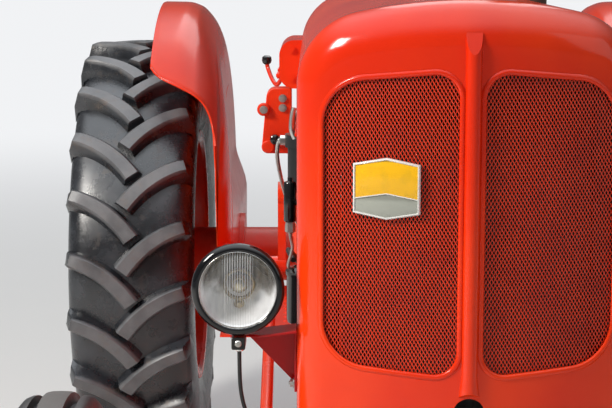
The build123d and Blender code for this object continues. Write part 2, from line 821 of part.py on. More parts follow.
# Front support casting: deck for the radiator and cowl, box beam, axle pivot brackets and tow jaw.
deck_wall = 20.0
deck_front_y = nose_y + 60
deck_shoulder_y = nose_y + 110
deck_back_y = nose_y + 250
deck_nose_half_width = 200.0
deck_half_width = cowl_half_width - 4
support_front_y = nose_y + 120
support_half_width = 140.0
support_bottom = beam_pivot_z + 66
support_y = (support_front_y + engine_front_y) / 2
pivot_gap_half = beam_depth_y / 2 + seat_gap
pivot_wall = 26.0
pivot_drop = 42.0
pivot_top_half_width = 110.0
pivot_foot_half_width = 45.0
pivot_pin_overhang = 8.0
tow_pin_radius = 14.0
tow_pin_y = nose_y + 62
jaw_gap = 46.0
jaw_wall = 18.0
jaw_z = 640.0
jaw_radius = 40.0
deck_outline = [
    (-deck_nose_half_width, deck_front_y),
    (deck_nose_half_width, deck_front_y),
    (deck_half_width, deck_shoulder_y),
    (deck_half_width, deck_back_y),
    (-deck_half_width, deck_back_y),
    (-deck_half_width, deck_shoulder_y),
]
pivot_outline = [
    (-pivot_top_half_width, support_bottom),
    (-pivot_foot_half_width, beam_pivot_z - pivot_drop),
    (pivot_foot_half_width, beam_pivot_z - pivot_drop),
    (pivot_top_half_width, support_bottom),
]
with BuildPart() as front_support:
    extrude(closed_face(Plane.XY.offset(cowl_bottom - deck_wall), deck_outline), amount=deck_wall)
    with BuildSketch(Plane.XY.offset(support_bottom)):
        with Locations((0, support_y)):
            Rectangle(2 * support_half_width, engine_front_y - support_front_y)
    extrude(amount=cowl_bottom - deck_wall - support_bottom)
    for back_y in (front_y - pivot_gap_half, front_y + pivot_gap_half + pivot_wall):
        extrude(closed_face(upright(back_y), pivot_outline), amount=pivot_wall)
    pin_reach = pivot_gap_half + pivot_wall + pivot_pin_overhang
    pin_front = (0, front_y - pin_reach, beam_pivot_z)
    add(bar(pin_front, (0, front_y + pin_reach, beam_pivot_z), beam_pin_radius))
    for jaw_bottom in (jaw_z - jaw_gap / 2 - jaw_wall, jaw_z + jaw_gap / 2):
        with BuildSketch(Plane.XY.offset(jaw_bottom)):
            with Locations((0, (tow_pin_y + support_front_y + 5) / 2)):
                Rectangle(2 * jaw_radius, support_front_y + 5 - tow_pin_y)
            with Locations((0, tow_pin_y)):
                Circle(jaw_radius)
            with Locations((0, tow_pin_y)):
                Circle(tow_pin_radius, mode=Mode.SUBTRACT)
        extrude(amount=jaw_wall)
front_support.part.label = "front_support"
export_step(front_support.part, "parts/front_support.step")

# Radiator with its tanks and fan ring.
core_half_width = 205.0
core_front_y = nose_y + 95
core_back_y = nose_y + 165
core_depth = core_back_y - core_front_y
core_y = (core_front_y + core_back_y) / 2
tank_height = 62.0
tank_lip = 8.0
tank_depth_lip = 10.0
tank_corner_radius = 16.0
tank_foot = 6.0
radiator_top = 1432.0
fan_z = 1060.0
fan_ring_radius = 206.0
fan_ring_wall = 4.0
fan_ring_length = 40.0
fan_radius = 192.0
with BuildPart() as radiator:
    with BuildSketch(Plane.XY.offset(cowl_bottom)):
        with Locations((0, core_y)):
            Rectangle(2 * core_half_width, core_depth)
    extrude(amount=radiator_top - cowl_bottom)
    for tank_z in (cowl_bottom + tank_foot, radiator_top - tank_height):
        with BuildSketch(Plane.XY.offset(tank_z)):
            with Locations((0, core_y)):
                tank_depth = core_depth + 2 * tank_depth_lip
                RectangleRounded(2 * (core_half_width + tank_lip), tank_depth, tank_corner_radius)
        extrude(amount=tank_height)
    with BuildSketch(upright(core_back_y + fan_ring_length)):
        with Locations((0, fan_z)):
            Circle(fan_ring_radius + fan_ring_wall)
            Circle(fan_ring_radius, mode=Mode.SUBTRACT)
    extrude(amount=fan_ring_length)
radiator.part.label = "radiator"
export_step(radiator.part, "parts/radiator.step")

# Engine: block on its sump, with the timing case and water pump at the front.
crank_pulley_radius = 75.0
fan_pulley_radius = 60.0
pulley_width = 24.0
pulley_front_y = engine_front_y - 90
pulley_back_y = pulley_front_y + pulley_width
pump_front_y = engine_front_y - 58
fan_shaft_y = engine_front_y - 130
fan_shaft_radius = 12.0
crank_nose_radius = 20.0
timing_case_width = 210.0
timing_case_height = 310.0
timing_case_radius = 60.0
timing_case_drop = 20.0
sump_side = 20.0
sump_rail = 14.0
sump_rail_half_height = 12.0
block_outline = [
    (-engine_half_width + sump_side, sump_bottom),
    (engine_half_width - sump_side, sump_bottom),
    (engine_half_width, sump_top),
    (engine_half_width, block_top),
    (-engine_half_width, block_top),
    (-engine_half_width, sump_top),
]
with BuildPart() as engine_block:
    extrude(closed_face(upright(engine_back_y), block_outline), amount=engine_length)
    with BuildSketch(upright(engine_back_y)):
        with Locations((0, sump_top)):
            Rectangle(2 * (engine_half_width + sump_rail), 2 * sump_rail_half_height)
    extrude(amount=engine_length)
    with BuildSketch(upright(engine_front_y)):
        with Locations((0, (crank_height + fan_z) / 2 - timing_case_drop)):
            RectangleRounded(timing_case_width, timing_case_height, timing_case_radius)
    extrude(amount=engine_front_y - pump_front_y)
    add(bar((0, pump_front_y, fan_z), (0, fan_shaft_y, fan_z), fan_shaft_radius))
    add(bar((0, pump_front_y, crank_height), (0, pulley_back_y, crank_height), crank_nose_radius))
    add(bar((0, pulley_back_y, crank_height), (0, pulley_front_y, crank_height), crank_pulley_radius))
engine_block.part.label = "engine_block"
export_step(engine_block.part, "parts/engine_block.step")

head_side = engine_half_width - 15
rocker_cover_width = 170.0
rocker_cover_inset = 45.0
rocker_corner_radius = 30.0
rocker_edge_radius = 22.0
head_y = engine_front_y + engine_length / 2
with BuildPart() as cylinder_head:
    with BuildSketch(Plane.XY.offset(block_top)):
        with Locations((0, head_y)):
            Rectangle(2 * head_side, engine_length - 30)
    extrude(amount=head_top - block_top)
    with BuildSketch(Plane.XY.offset(head_top)):
        with Locations((0, head_y)):
            cover_length = engine_length - 2 * rocker_cover_inset
            RectangleRounded(rocker_cover_width, cover_length, rocker_corner_radius)
    extrude(amount=rocker_top - head_top)
    fillet(cylinder_head.faces().sort_by(Axis.Z)[-1].edges(), rocker_edge_radius)
cylinder_head.part.label = "cylinder_head"
export_step(cylinder_head.part, "parts/cylinder_head.step")

manifold_gap = 12.0
manifold_width = 58.0
manifold_length = 570.0
manifold_bottom = 1128.0
manifold_top = 1186.0
manifold_height = manifold_top - manifold_bottom
manifold_radius = 20.0
manifold_x = head_side + manifold_gap + manifold_width / 2
manifold_mid_y = engine_front_y + engine_length / 2
port_count = 4
port_spacing = 150.0
port_width = 66.0
port_length = 40.0
port_height = manifold_height - 6
port_radius = 12.0
outlet_radius = 42.0
outlet_half_height = 20.0
with BuildPart() as manifold:
    with BuildSketch(upright(manifold_mid_y + manifold_length / 2)):
        with Locations((manifold_x, manifold_bottom + manifold_height / 2)):
            RectangleRounded(manifold_width, manifold_height, manifold_radius)
    extrude(amount=manifold_length)
    with BuildSketch(sideways(head_side)):
        with Locations((manifold_mid_y, manifold_bottom + manifold_height / 2)):
            with GridLocations(port_spacing, 1, port_count, 1):
                RectangleRounded(port_width, port_height, port_radius)
    extrude(amount=port_length)
    outlet_bottom = (exhaust_x, exhaust_y, manifold_top - outlet_half_height)
    outlet_top = (exhaust_x, exhaust_y, manifold_top + outlet_half_height)
    add(bar(outlet_bottom, outlet_top, outlet_radius))
manifold.part.label = "manifold"
export_step(manifold.part, "parts/manifold.step")

silencer_bottom = nose_top + 60
silencer_length = 330.0
silencer_radius = 52.0
exhaust_top = 2010.0
exhaust_wall = 3.0
exhaust_foot = manifold_top + outlet_half_height
exhaust_flange_wall = 10.0
exhaust_plane = Plane(origin=(exhaust_x, exhaust_y, 0), x_dir=(0, 0, 1), z_dir=(1, 0, 0))
exhaust_outline = [
    (exhaust_foot, exhaust_radius - exhaust_wall),
    (exhaust_foot, outlet_radius - 2),
    (exhaust_foot + exhaust_flange_wall, outlet_radius - 2),
    (exhaust_foot + exhaust_flange_wall, exhaust_radius),
    (silencer_bottom, exhaust_radius),
    (silencer_bottom, silencer_radius),
    (silencer_bottom + silencer_length, silencer_radius),
    (silencer_bottom + silencer_length, exhaust_radius),
    (exhaust_top, exhaust_radius),
    (exhaust_top, exhaust_radius - exhaust_wall),
]
with BuildPart() as exhaust:
    add(turned(exhaust_plane, exhaust_outline))
exhaust.part.label = "exhaust"
export_step(exhaust.part, "parts/exhaust.step")

# Fan on the water-pump shaft, and the belt round the three pulleys.
blade_count = 4
blade_width = 84.0
blade_wall = 4.0
blade_pitch = 35.0
fan_y = nose_y + 256
fan_hub_radius = 30.0
fan_hub_lead = 32.0
blade_plane = Plane(
    origin=(0, fan_y, fan_z),
    x_dir=(cos(radians(blade_pitch)), -sin(radians(blade_pitch)), 0),
    z_dir=(0, 0, 1),
)
fan_axis = Axis((0, nose_y, fan_z), (0, 1, 0))
with BuildPart() as blade:
    with BuildSketch(blade_plane):
        Rectangle(blade_width, blade_wall)
    extrude(amount=fan_radius - blade_wall)
with BuildPart() as fan:
    add(bar((0, pulley_back_y, fan_z), (0, pulley_front_y, fan_z), fan_pulley_radius))
    add(bar((0, pulley_front_y, fan_z), (0, fan_y - fan_hub_lead, fan_z), fan_hub_radius))
    add([blade.part.rotate(fan_axis, 360 / blade_count * step) for step in range(blade_count)])
    bore_front = (0, fan_shaft_y - 1, fan_z)
    add(bar((0, pump_front_y, fan_z), bore_front, fan_shaft_radius + running_fit), mode=Mode.SUBTRACT)
fan.part.label = "fan"
export_step(fan.part, "parts/fan.step")

dynamo_x = 216.0
dynamo_z = 985.0
dynamo_radius = 60.0
dynamo_length = 220.0
dynamo_front_y = engine_front_y - 50
dynamo_shaft_radius = 12.0
dynamo_pulley_radius = 38.0
dynamo_bracket_station = 70.0
dynamo_bracket_width = 60.0
dynamo_bracket_wall = 12.0
with BuildPart() as dynamo:
    dynamo_nose = (dynamo_x, dynamo_front_y, dynamo_z)
    pulley_nose = (dynamo_x, pulley_front_y, dynamo_z)
    add(bar(dynamo_nose, (dynamo_x, dynamo_front_y + dynamo_length, dynamo_z), dynamo_radius))
    add(bar(dynamo_nose, pulley_nose, dynamo_shaft_radius))
    add(bar(pulley_nose, (dynamo_x, pulley_back_y, dynamo_z), dynamo_pulley_radius))
    with BuildSketch(Plane.XY.offset(dynamo_z)):
        with Locations(((engine_half_width + dynamo_x) / 2, engine_front_y + dynamo_bracket_station)):
            Rectangle(dynamo_x - engine_half_width, dynamo_bracket_width)
    extrude(amount=-dynamo_bracket_wall)
dynamo.part.label = "dynamo"
export_step(dynamo.part, "parts/dynamo.step")

belt_wall = 9.0
belt_half_width = 5.0
pulleys = [
    (0, fan_z, fan_pulley_radius),
    (0, crank_height, crank_pulley_radius),
    (dynamo_x, dynamo_z, dynamo_pulley_radius),
]


def belt_face(gap):
    """Outline of a belt run taken a gap outside the pulleys."""
    with BuildSketch(upright(pulley_front_y + pulley_width / 2 + belt_half_width)) as face:
        for x, z, radius in pulleys:
            with Locations((x, z)):
                Circle(radius + gap)
        make_hull()
    return face.sketch


with BuildPart() as fan_belt:
    extrude(belt_face(seat_gap + belt_wall), amount=2 * belt_half_width)
    extrude(belt_face(seat_gap), amount=2 * belt_half_width, mode=Mode.SUBTRACT)
fan_belt.part.label = "fan_belt"
export_step(fan_belt.part, "parts/fan_belt.step")

# Engine ancillaries on the right-hand side.
pump_setback = 300.0
pump_z = 950.0
pump_length = 270.0
pump_height = 92.0
pump_depth = 78.0
pump_corner_radius = 14.0
pump_y = engine_front_y + pump_setback
pump_line_x = -engine_half_width - 40
element_count = 4
element_spacing = 52.0
element_radius = 13.0
element_height = 34.0
governor_radius = 40.0
governor_length = 95.0
with BuildPart() as injection_pump:
    with BuildSketch(Plane.YZ.offset(-engine_half_width)):
        with Locations((pump_y, pump_z)):
            RectangleRounded(pump_length, pump_height, pump_corner_radius)
    extrude(amount=-pump_depth)
    with BuildSketch(Plane.XY.offset(pump_z + pump_height / 2)):
        with Locations((pump_line_x, pump_y)):
            with GridLocations(1, element_spacing, 1, element_count):
                Circle(element_radius)
    extrude(amount=element_height)
    pump_front_face = pump_y - pump_length / 2
    governor_back = (pump_line_x, pump_front_face + 1, pump_z - 4)
    add(bar(governor_back, (pump_line_x, pump_front_face - governor_length, pump_z - 4), governor_radius))
injection_pump.part.label = "injection_pump"
export_step(injection_pump.part, "parts/injection_pump.step")

filter_x = -262.0
filter_y = engine_front_y + 90
filter_head_z = 1228.0
filter_head_height = 24.0
filter_head_radius = 44.0
filter_bowl_radius = 39.0
filter_bowl_length = 108.0
filter_cap_radius = 16.0
filter_cap_height = 14.0
filter_arm_wall = 14.0
filter_arm_width = 40.0
filter_pad_width = 90.0
filter_pad_height = 76.0
filter_pad_wall = 10.0
filter_plane = Plane(origin=(filter_x, filter_y, 0), x_dir=(0, 0, 1), z_dir=(1, 0, 0))
filter_outline = [
    (filter_head_z - filter_bowl_length, 0),
    (filter_head_z - filter_bowl_length, filter_bowl_radius),
    (filter_head_z - filter_head_height, filter_bowl_radius),
    (filter_head_z - filter_head_height, filter_head_radius),
    (filter_head_z, filter_head_radius),
    (filter_head_z, filter_cap_radius),
    (filter_head_z + filter_cap_height, filter_cap_radius),
    (filter_head_z + filter_cap_height, 0),
]
with BuildPart() as fuel_filter:
    add(turned(filter_plane, filter_outline))
    with BuildSketch(Plane.XY.offset(filter_head_z - filter_head_height + 2)):
        with Locations(((filter_x - head_side) / 2, filter_y)):
            Rectangle(-filter_x - head_side, filter_arm_width)
    extrude(amount=filter_arm_wall)
    with BuildSketch(Plane.YZ.offset(-head_side)):
        with Locations((filter_y, head_top - filter_pad_height / 2)):
            Rectangle(filter_pad_width, filter_pad_height)
    extrude(amount=-filter_pad_wall)
fuel_filter.part.label = "fuel_filter"
export_step(fuel_filter.part, "parts/fuel_filter.step")

starter_radius = 54.0
starter_nose_radius = 46.0
starter_nose_length = 60.0
starter_length = 250.0
solenoid_radius = 24.0
solenoid_length = 110.0
solenoid_rise = 66.0
starter_clearance = 3.0
starter_x = -engine_half_width - sump_rail - starter_clearance - starter_radius
starter_z = 806.0
with BuildPart() as starter_motor:
    nose_end = (starter_x, engine_back_y - starter_nose_length, starter_z)
    add(bar((starter_x, engine_back_y, starter_z), nose_end, starter_nose_radius))
    add(bar(nose_end, (starter_x, engine_back_y - starter_length, starter_z), starter_radius))
    solenoid_y = engine_back_y - starter_nose_length - 10
    solenoid_x = starter_x - 20
    solenoid_start = (solenoid_x, solenoid_y, starter_z + solenoid_rise)
    solenoid_stop = (solenoid_x, solenoid_y - solenoid_length, starter_z + solenoid_rise)
    add(bar(solenoid_start, solenoid_stop, solenoid_radius))
starter_motor.part.label = "starter_motor"
export_step(starter_motor.part, "parts/starter_motor.step")

cleaner_x = -226.0
cleaner_y = engine_back_y - 170
cleaner_radius = 70.0
cleaner_bottom = 910.0
cleaner_bowl_top = 986.0
cleaner_top = 1142.0
cleaner_neck_top = 1174.0
cleaner_neck_radius = 34.0
cleaner_arm_z = 1010.0
cleaner_arm_width = 60.0
cleaner_arm_height = 70.0
cleaner_plane = Plane(origin=(cleaner_x, cleaner_y, 0), x_dir=(0, 0, 1), z_dir=(1, 0, 0))
cleaner_outline = [
    (cleaner_bottom, 0),
    (cleaner_bottom, cleaner_radius),
    (cleaner_bowl_top, cleaner_radius),
    (cleaner_bowl_top, cleaner_radius - 4),
    (cleaner_top, cleaner_radius - 4),
    (cleaner_top, cleaner_neck_radius),
    (cleaner_neck_top, cleaner_neck_radius),
    (cleaner_neck_top, 0),
]
with BuildPart() as air_cleaner:
    add(turned(cleaner_plane, cleaner_outline))
    with BuildSketch(Plane.XY.offset(cleaner_arm_z)):
        with Locations(((cleaner_x - engine_half_width) / 2, cleaner_y)):
            Rectangle(-cleaner_x - engine_half_width, cleaner_arm_width)
    extrude(amount=cleaner_arm_height)
air_cleaner.part.label = "air_cleaner"
export_step(air_cleaner.part, "parts/air_cleaner.step")

# Transmission castings.
bell_y = (bell_top + bell_bottom) / 2
bell_step = 15.0
bell_drop = 10.0
neck_height = bell_top - bell_bottom - 50
gearbox_z = (gearbox_top + gearbox_bottom) / 2
with BuildPart() as clutch_housing:
    with BuildSketch(upright(engine_back_y + bell_depth)):
        with Locations((0, bell_y)):
            Rectangle(2 * bell_half_width, bell_top - bell_bottom)
    extrude(amount=bell_depth)
    with BuildSketch(upright(engine_back_y + bell_depth)):
        with Locations((0, bell_y - bell_drop)):
            Rectangle(2 * (bell_half_width - bell_step), neck_height)
    with BuildSketch(upright(clutch_back_y)):
        with Locations((0, gearbox_z)):
            Rectangle(2 * gearbox_half_width, gearbox_top - gearbox_bottom)
    loft()
clutch_housing.part.label = "clutch_housing"
export_step(clutch_housing.part, "parts/clutch_housing.step")

case_front_y = rear_y - axle_case_half_length
cover_setback = 420.0
cover_width = 180.0
cover_length = 260.0
cover_corner_radius = 24.0
cover_height = 30.0
with BuildPart() as gearbox_housing:
    with BuildSketch(upright(case_front_y)):
        with Locations((0, gearbox_z)):
            Rectangle(2 * gearbox_half_width, gearbox_top - gearbox_bottom)
    extrude(amount=case_front_y - clutch_back_y)
    with BuildSketch(Plane.XY.offset(gearbox_top)):
        with Locations((0, clutch_back_y + cover_setback)):
            RectangleRounded(cover_width, cover_length, cover_corner_radius)
    extrude(amount=cover_height)
gearbox_housing.part.label = "gearbox_housing"
export_step(gearbox_housing.part, "parts/gearbox_housing.step")

case_top = 905.0
case_bottom = 470.0
case_back_y = rear_y + axle_case_half_length
fender_plate_x = 474.0
trumpet_radius = 82.0
trumpet_flange_radius = 150.0
plate_flange_radius = 125.0
plate_flange_wall = 14.0
trumpet_end = rear_x + flange_back - moving_gap
# Distances of the trumpet's steps outward from the rear wheel's middle plane.
trumpet_start = axle_case_half_width - rear_x
plate_flange = fender_plate_x - rear_x
bearing_end = trumpet_end - rear_x
bearing_start = bearing_end - axle_bearing_length - 1
trumpet_outline = [
    (trumpet_start - 10, 0),
    (trumpet_start - 10, trumpet_flange_radius),
    (trumpet_start + 28, trumpet_flange_radius),
    (trumpet_start + 28, trumpet_radius),
    (plate_flange - plate_flange_wall, trumpet_radius),
    (plate_flange - plate_flange_wall, plate_flange_radius),
    (plate_flange, plate_flange_radius),
    (plate_flange, trumpet_radius),
    (bearing_end, trumpet_radius),
    (bearing_end, axle_shaft_radius + running_fit),
    (bearing_start, axle_shaft_radius + running_fit),
    (bearing_start, 0),
]
case_outline = [
    (case_front_y, gearbox_bottom),
    (rear_y - 120, case_bottom),
    (rear_y + 110, case_bottom),
    (case_back_y, case_bottom + 90),
    (case_back_y, case_top - 60),
    (case_back_y - 70, case_top),
    (case_front_y, case_top),
]
with BuildPart() as rear_axle_housing:
    extrude(closed_face(sideways(-axle_case_half_width), case_outline), amount=2 * axle_case_half_width)
    trumpet = turned(rear_hub, trumpet_outline)
    add(trumpet)
    mirror(trumpet, about=Plane.YZ)
rear_axle_housing.part.label = "rear_axle_housing"
export_step(rear_axle_housing.part, "parts/rear_axle_housing.step")

# Drawbar under the axle case with its hitch hole, and the power shaft stub in its guard.
drawbar_z = 400.0
drawbar_wall = 32.0
drawbar_half_width = 32.0
hitch_radius = 14.0
hitch_y = rear_y + 560.0
hanger_width = 150.0
hanger_length = 60.0
hanger_front_y = rear_y - 60.0
hanger_back_y = rear_y + 70.0
with BuildPart() as drawbar:
    with BuildSketch(Plane.XY.offset(drawbar_z)):
        with Locations((0, (hanger_front_y + hitch_y) / 2)):
            Rectangle(2 * drawbar_half_width, hitch_y - hanger_front_y)
        with Locations((0, hitch_y)):
            Circle(drawbar_half_width)
        with Locations((0, hitch_y)):
            Circle(hitch_radius, mode=Mode.SUBTRACT)
    extrude(amount=drawbar_wall)
    for hanger_y in (hanger_front_y, hanger_back_y):
        with BuildSketch(Plane.XY.offset(drawbar_z + drawbar_wall)):
            with Locations((0, hanger_y)):
                Rectangle(hanger_width, hanger_length)
        extrude(amount=case_bottom - drawbar_z - drawbar_wall)
drawbar.part.label = "drawbar"
export_step(drawbar.part, "parts/drawbar.step")

pto_radius = 17.5
pto_z = 640.0
pto_length = 90.0
pto_flange_radius = 60.0
pto_flange_wall = 16.0
guard_half_width = 70.0
guard_rise = 78.0
guard_drop = 30.0
guard_wall = 4.0
guard_length = pto_length + 10
guard_path = [
    (-guard_half_width, pto_z - guard_drop),
    (-guard_half_width, pto_z + guard_rise),
    (guard_half_width, pto_z + guard_rise),
    (guard_half_width, pto_z - guard_drop),
]
with BuildPart() as power_shaft:
    pto_root = (0, case_back_y, pto_z)
    add(bar(pto_root, (0, case_back_y + pto_flange_wall, pto_z), pto_flange_radius))
    add(bar(pto_root, (0, case_back_y + pto_length, pto_z), pto_radius))
    guard_face = closed_face(upright(case_back_y + guard_length), sheet_outline(guard_path, guard_wall))
    extrude(guard_face, amount=guard_length)
power_shaft.part.label = "power_shaft"
export_step(power_shaft.part, "parts/power_shaft.step")

# Fenders: a rolled crown with an outer lip and a wide rounded inner shoulder, its front corner cut
# away in a sweep, on a flat inner plate bolted to the axle housing and standing on the footplate.
fender_radius = 770.0
fender_lip_x = 700.0
fender_lip_depth = 22.0
fender_front_angle = 12.0
fender_back_angle = 148.0
fender_wall = 3.0
fender_plate_radius = 520.0
fender_overlap = 20.0
axle_hole_radius = trumpet_radius + 3
footplate_top = 606.0
footplate_wall = 6.0
footplate_front_y = clutch_back_y + 40
footplate_back_y = rear_y - 250
fender_section = [
    (fender_lip_x, fender_radius - fender_lip_depth),
    (fender_lip_x, fender_radius),
    (620, fender_radius - 2),
    (562, fender_radius - 22),
    (522, fender_radius - 62),
    (494, fender_radius - 120),
    (478, fender_radius - 200),
    (fender_plate_x, fender_plate_radius - fender_overlap),
]
fender_path = [(x - rear_x, radius) for x, radius in fender_section]
fender_face = closed_face(rear_hub, sheet_outline(fender_path, fender_wall))
# Front view of what is cut from the crown's lower front corner.
corner_reach = fender_lip_x + 60
corner_cut = [
    (corner_reach, 1275),
    (fender_lip_x + 4, 1275),
    (fender_lip_x - 4, 1258),
    (669, 1233),
    (618, 1210),
    (570, 1184),
    (540, 1148),
    (522, 1090),
    (514, 1000),
    (510, footplate_top),
    (corner_reach, footplate_top),
]
plate_front_y = rear_y - 700
plate_back_y = rear_y + 467
plate_foot = rear_radius - 160
plate_trim = [
    (plate_front_y, footplate_top),
    (footplate_back_y, footplate_top),
    (rear_y - 160, plate_foot),
    (rear_y + 160, plate_foot),
    (rear_y + 430, 640),
    (plate_back_y, 760),
    (plate_back_y, 1300),
    (plate_front_y, 1300),
]
with BuildPart() as crown:
    revolve(fender_face, axis=rear_axle, revolution_arc=fender_back_angle - fender_front_angle)
with BuildPart() as fender_plate:
    with BuildSketch(sideways(fender_plate_x)):
        with Locations((rear_y, rear_radius)):
            Circle(fender_plate_radius)
        with Locations((rear_y, rear_radius)):
            Circle(axle_hole_radius, mode=Mode.SUBTRACT)
    extrude(amount=fender_wall)
    extrude(closed_face(sideways(fender_plate_x), plate_trim), amount=fender_wall, mode=Mode.INTERSECT)
with BuildPart() as fender:
    add(crown.part.rotate(rear_axle, 90 - fender_back_angle))
    front_half = rear_radius + fender_radius
    corner_face = closed_face(upright(rear_y - 300), corner_cut)
    extrude(corner_face, amount=front_half, mode=Mode.SUBTRACT)
    add(fender_plate.part)
keep_pair(fender.part, "fender")

footplate_outer_x = fender_plate_x + 16
footplate_width = footplate_outer_x - gearbox_half_width
with BuildPart() as footplates:
    with BuildSketch(Plane.XY.offset(footplate_top - footplate_wall)):
        footplate_x = gearbox_half_width + footplate_width / 2
        with Locations((footplate_x, (footplate_front_y + footplate_back_y) / 2)):
            Rectangle(footplate_width, footplate_back_y - footplate_front_y)
    extrude(amount=footplate_wall)
    mirror(about=Plane.YZ)
footplates.part.label = "footplates"
export_step(footplates.part, "parts/footplates.step")

# Driver's place: a pressed pan seat on its spring arm.
seat_y = rear_y + 110.0
seat_z = 1050.0
seat_radius = 215.0
seat_sides = 20
seat_wall = 4.0
seat_plane = Plane(origin=(0, seat_y, seat_z), x_dir=(0, 0, 1), z_dir=(1, 0, 0))
seat_path = [(0, 0), (4, 110), (30, 185), (66, seat_radius), (72, seat_radius + 12)]
with BuildPart() as seat:
    add(sectored(seat_plane, sheet_outline(seat_path, seat_wall), seat_sides))
seat.part.label = "seat"
export_step(seat.part, "parts/seat.step")

spring_half_width = 40.0
spring_wall = 8.0
spring_top = seat_z - seat_wall - spring_wall
spring_path = [
    (rear_y - 150, case_top),
    (rear_y - 40, case_top),
    (rear_y + 60, case_top + 50),
    (rear_y + 60, spring_top),
    (rear_y + 150, spring_top),
]
with BuildPart() as seat_spring:
    spring_face = closed_face(sideways(-spring_half_width), sheet_outline(spring_path, spring_wall))
    extrude(spring_face, amount=2 * spring_half_width)
seat_spring.part.label = "seat_spring"
export_step(seat_spring.part, "parts/seat_spring.step")

# Gear levers on the gearbox cover, in round turrets and with round knobs.
turret_height = 26.0
turret_radius = 30.0
lever_radius = 9.0
knob_radius = 20.0
knob_length = 36.0
cover_top = gearbox_top + cover_height
# Each lever: X, distance behind the clutch housing, lean backwards, height.
levers = [
    (0, 470, 60, 330),
    (60, 380, -40, 260),
]
with BuildPart() as controls:
    for lever_x, setback, lean, height in levers:
        foot = Vector(lever_x, clutch_back_y + setback, cover_top)
        tip = foot + Vector(0, lean, height)
        knob_run = (tip - foot).normalized() * knob_length
        add(bar(foot, foot + Vector(0, 0, turret_height), turret_radius))
        add(bar(foot + Vector(0, 0, lever_radius), tip, lever_radius))
        add(bar(tip, tip + knob_run, knob_radius))
controls.part.label = "controls"
export_step(controls.part, "parts/controls.step")

# Headlamps: shell, rim and glass on folded brackets, each with its lead back into the cowl.
lamp_x = 377.0
lamp_z = 1016.0
lamp_y = nose_y + 95.0
lamp_rim_radius = 77.5
lamp_shell_radius = 74.0
lamp_shell_depth = 97.0
lamp_shell_wall = 3.0
glass_radius = 68.0
lamp_sides = 24
lamp_plane = Plane(origin=(lamp_x, lamp_y, lamp_z), x_dir=(0, -1, 0), z_dir=(-1, 0, 0))
shell_path = [
    (0, lamp_shell_radius),
    (-8, lamp_shell_radius),
    (-40, lamp_shell_radius - 7),
    (-76, lamp_shell_radius - 26),
    (-lamp_shell_depth, 20),
    (-lamp_shell_depth, 0),
]
shell_outline = sheet_outline(shell_path, lamp_shell_wall)
bracket_top = 931.0
stem_y = nose_y + 125.0
stem_radius = 11.0
stem_bottom = bracket_top - 28
with BuildPart() as headlamp_shells:
    add(sectored(lamp_plane, shell_outline, lamp_sides))
    add(bar((lamp_x, stem_y, lamp_z - lamp_shell_radius + 8), (lamp_x, stem_y, stem_bottom), stem_radius))
    mirror(about=Plane.YZ)
headlamp_shells.part.label = "headlamp_shells"
export_step(headlamp_shells.part, "parts/headlamp_shells.step")

rim_depth = 16.0
rim_lip = 4.0
rim_outline = [
    (0, glass_radius - 2),
    (0, lamp_rim_radius - 1),
    (rim_lip, lamp_rim_radius),
    (rim_depth - rim_lip, lamp_rim_radius),
    (rim_depth, glass_radius + 3),
    (rim_depth - 2, glass_radius),
    (rim_lip, glass_radius),
    (rim_lip, glass_radius - 2),
]
with BuildPart() as headlamp_rims:
    add(sectored(lamp_plane, rim_outline, 2 * lamp_sides))
    mirror(about=Plane.YZ)
headlamp_rims.part.label = "headlamp_rims"
export_step(headlamp_rims.part, "parts/headlamp_rims.step")

glass_edge = glass_radius - 2 * seat_gap
glass_outline = [
    (rim_lip, 0),
    (rim_lip, glass_edge),
    (rim_lip + 4, glass_edge),
    (rim_depth, glass_radius / 2),
    (rim_depth + 2, 0),
]
with BuildPart() as headlamp_glasses:
    add(sectored(lamp_plane, glass_outline, 2 * lamp_sides))
    mirror(about=Plane.YZ)
headlamp_glasses.part.label = "headlamp_glasses"
export_step(headlamp_glasses.part, "parts/headlamp_glasses.step")

# Folded brackets: an upright web, a top flange that takes the lamp's stem and a foot on the cowl.
bracket_sheet = 4.0
bracket_depth = 60.0
bracket_foot_depth = 28.0
bracket_foot_z = 831.0
bracket_reach = lamp_x + 18
bracket_rise = 14.0
web_reach = lamp_x - 15
web_foot_z = bracket_foot_z + 12
web_points = [
    (cowl_half_width, web_foot_z),
    (web_reach, bracket_top - bracket_sheet),
    (cowl_half_width, bracket_top + bracket_rise - bracket_sheet),
]
flange_points = [
    (cowl_half_width, bracket_top + bracket_rise - bracket_sheet),
    (bracket_reach, bracket_top - bracket_sheet),
    (bracket_reach, bracket_top),
    (cowl_half_width, bracket_top + bracket_rise),
]
foot_points = [
    (cowl_half_width, bracket_foot_z),
    (cowl_half_width + bracket_sheet, bracket_foot_z),
    (cowl_half_width + bracket_sheet, bracket_top + bracket_sheet),
    (cowl_half_width, bracket_top + bracket_sheet),
]
with BuildPart() as lamp_brackets:
    extrude(closed_face(upright(seam_y), web_points), amount=bracket_sheet)
    extrude(closed_face(upright(seam_y), flange_points), amount=bracket_depth)
    extrude(closed_face(upright(seam_y), foot_points), amount=bracket_foot_depth)
    with BuildSketch(Plane.XY.offset(bracket_top - bracket_rise)):
        with Locations((lamp_x, stem_y)):
            Circle(stem_radius + running_fit)
    extrude(amount=2 * bracket_rise, mode=Mode.SUBTRACT)
    mirror(about=Plane.YZ)
lamp_brackets.part.label = "lamp_brackets"
export_step(lamp_brackets.part, "parts/lamp_brackets.step")

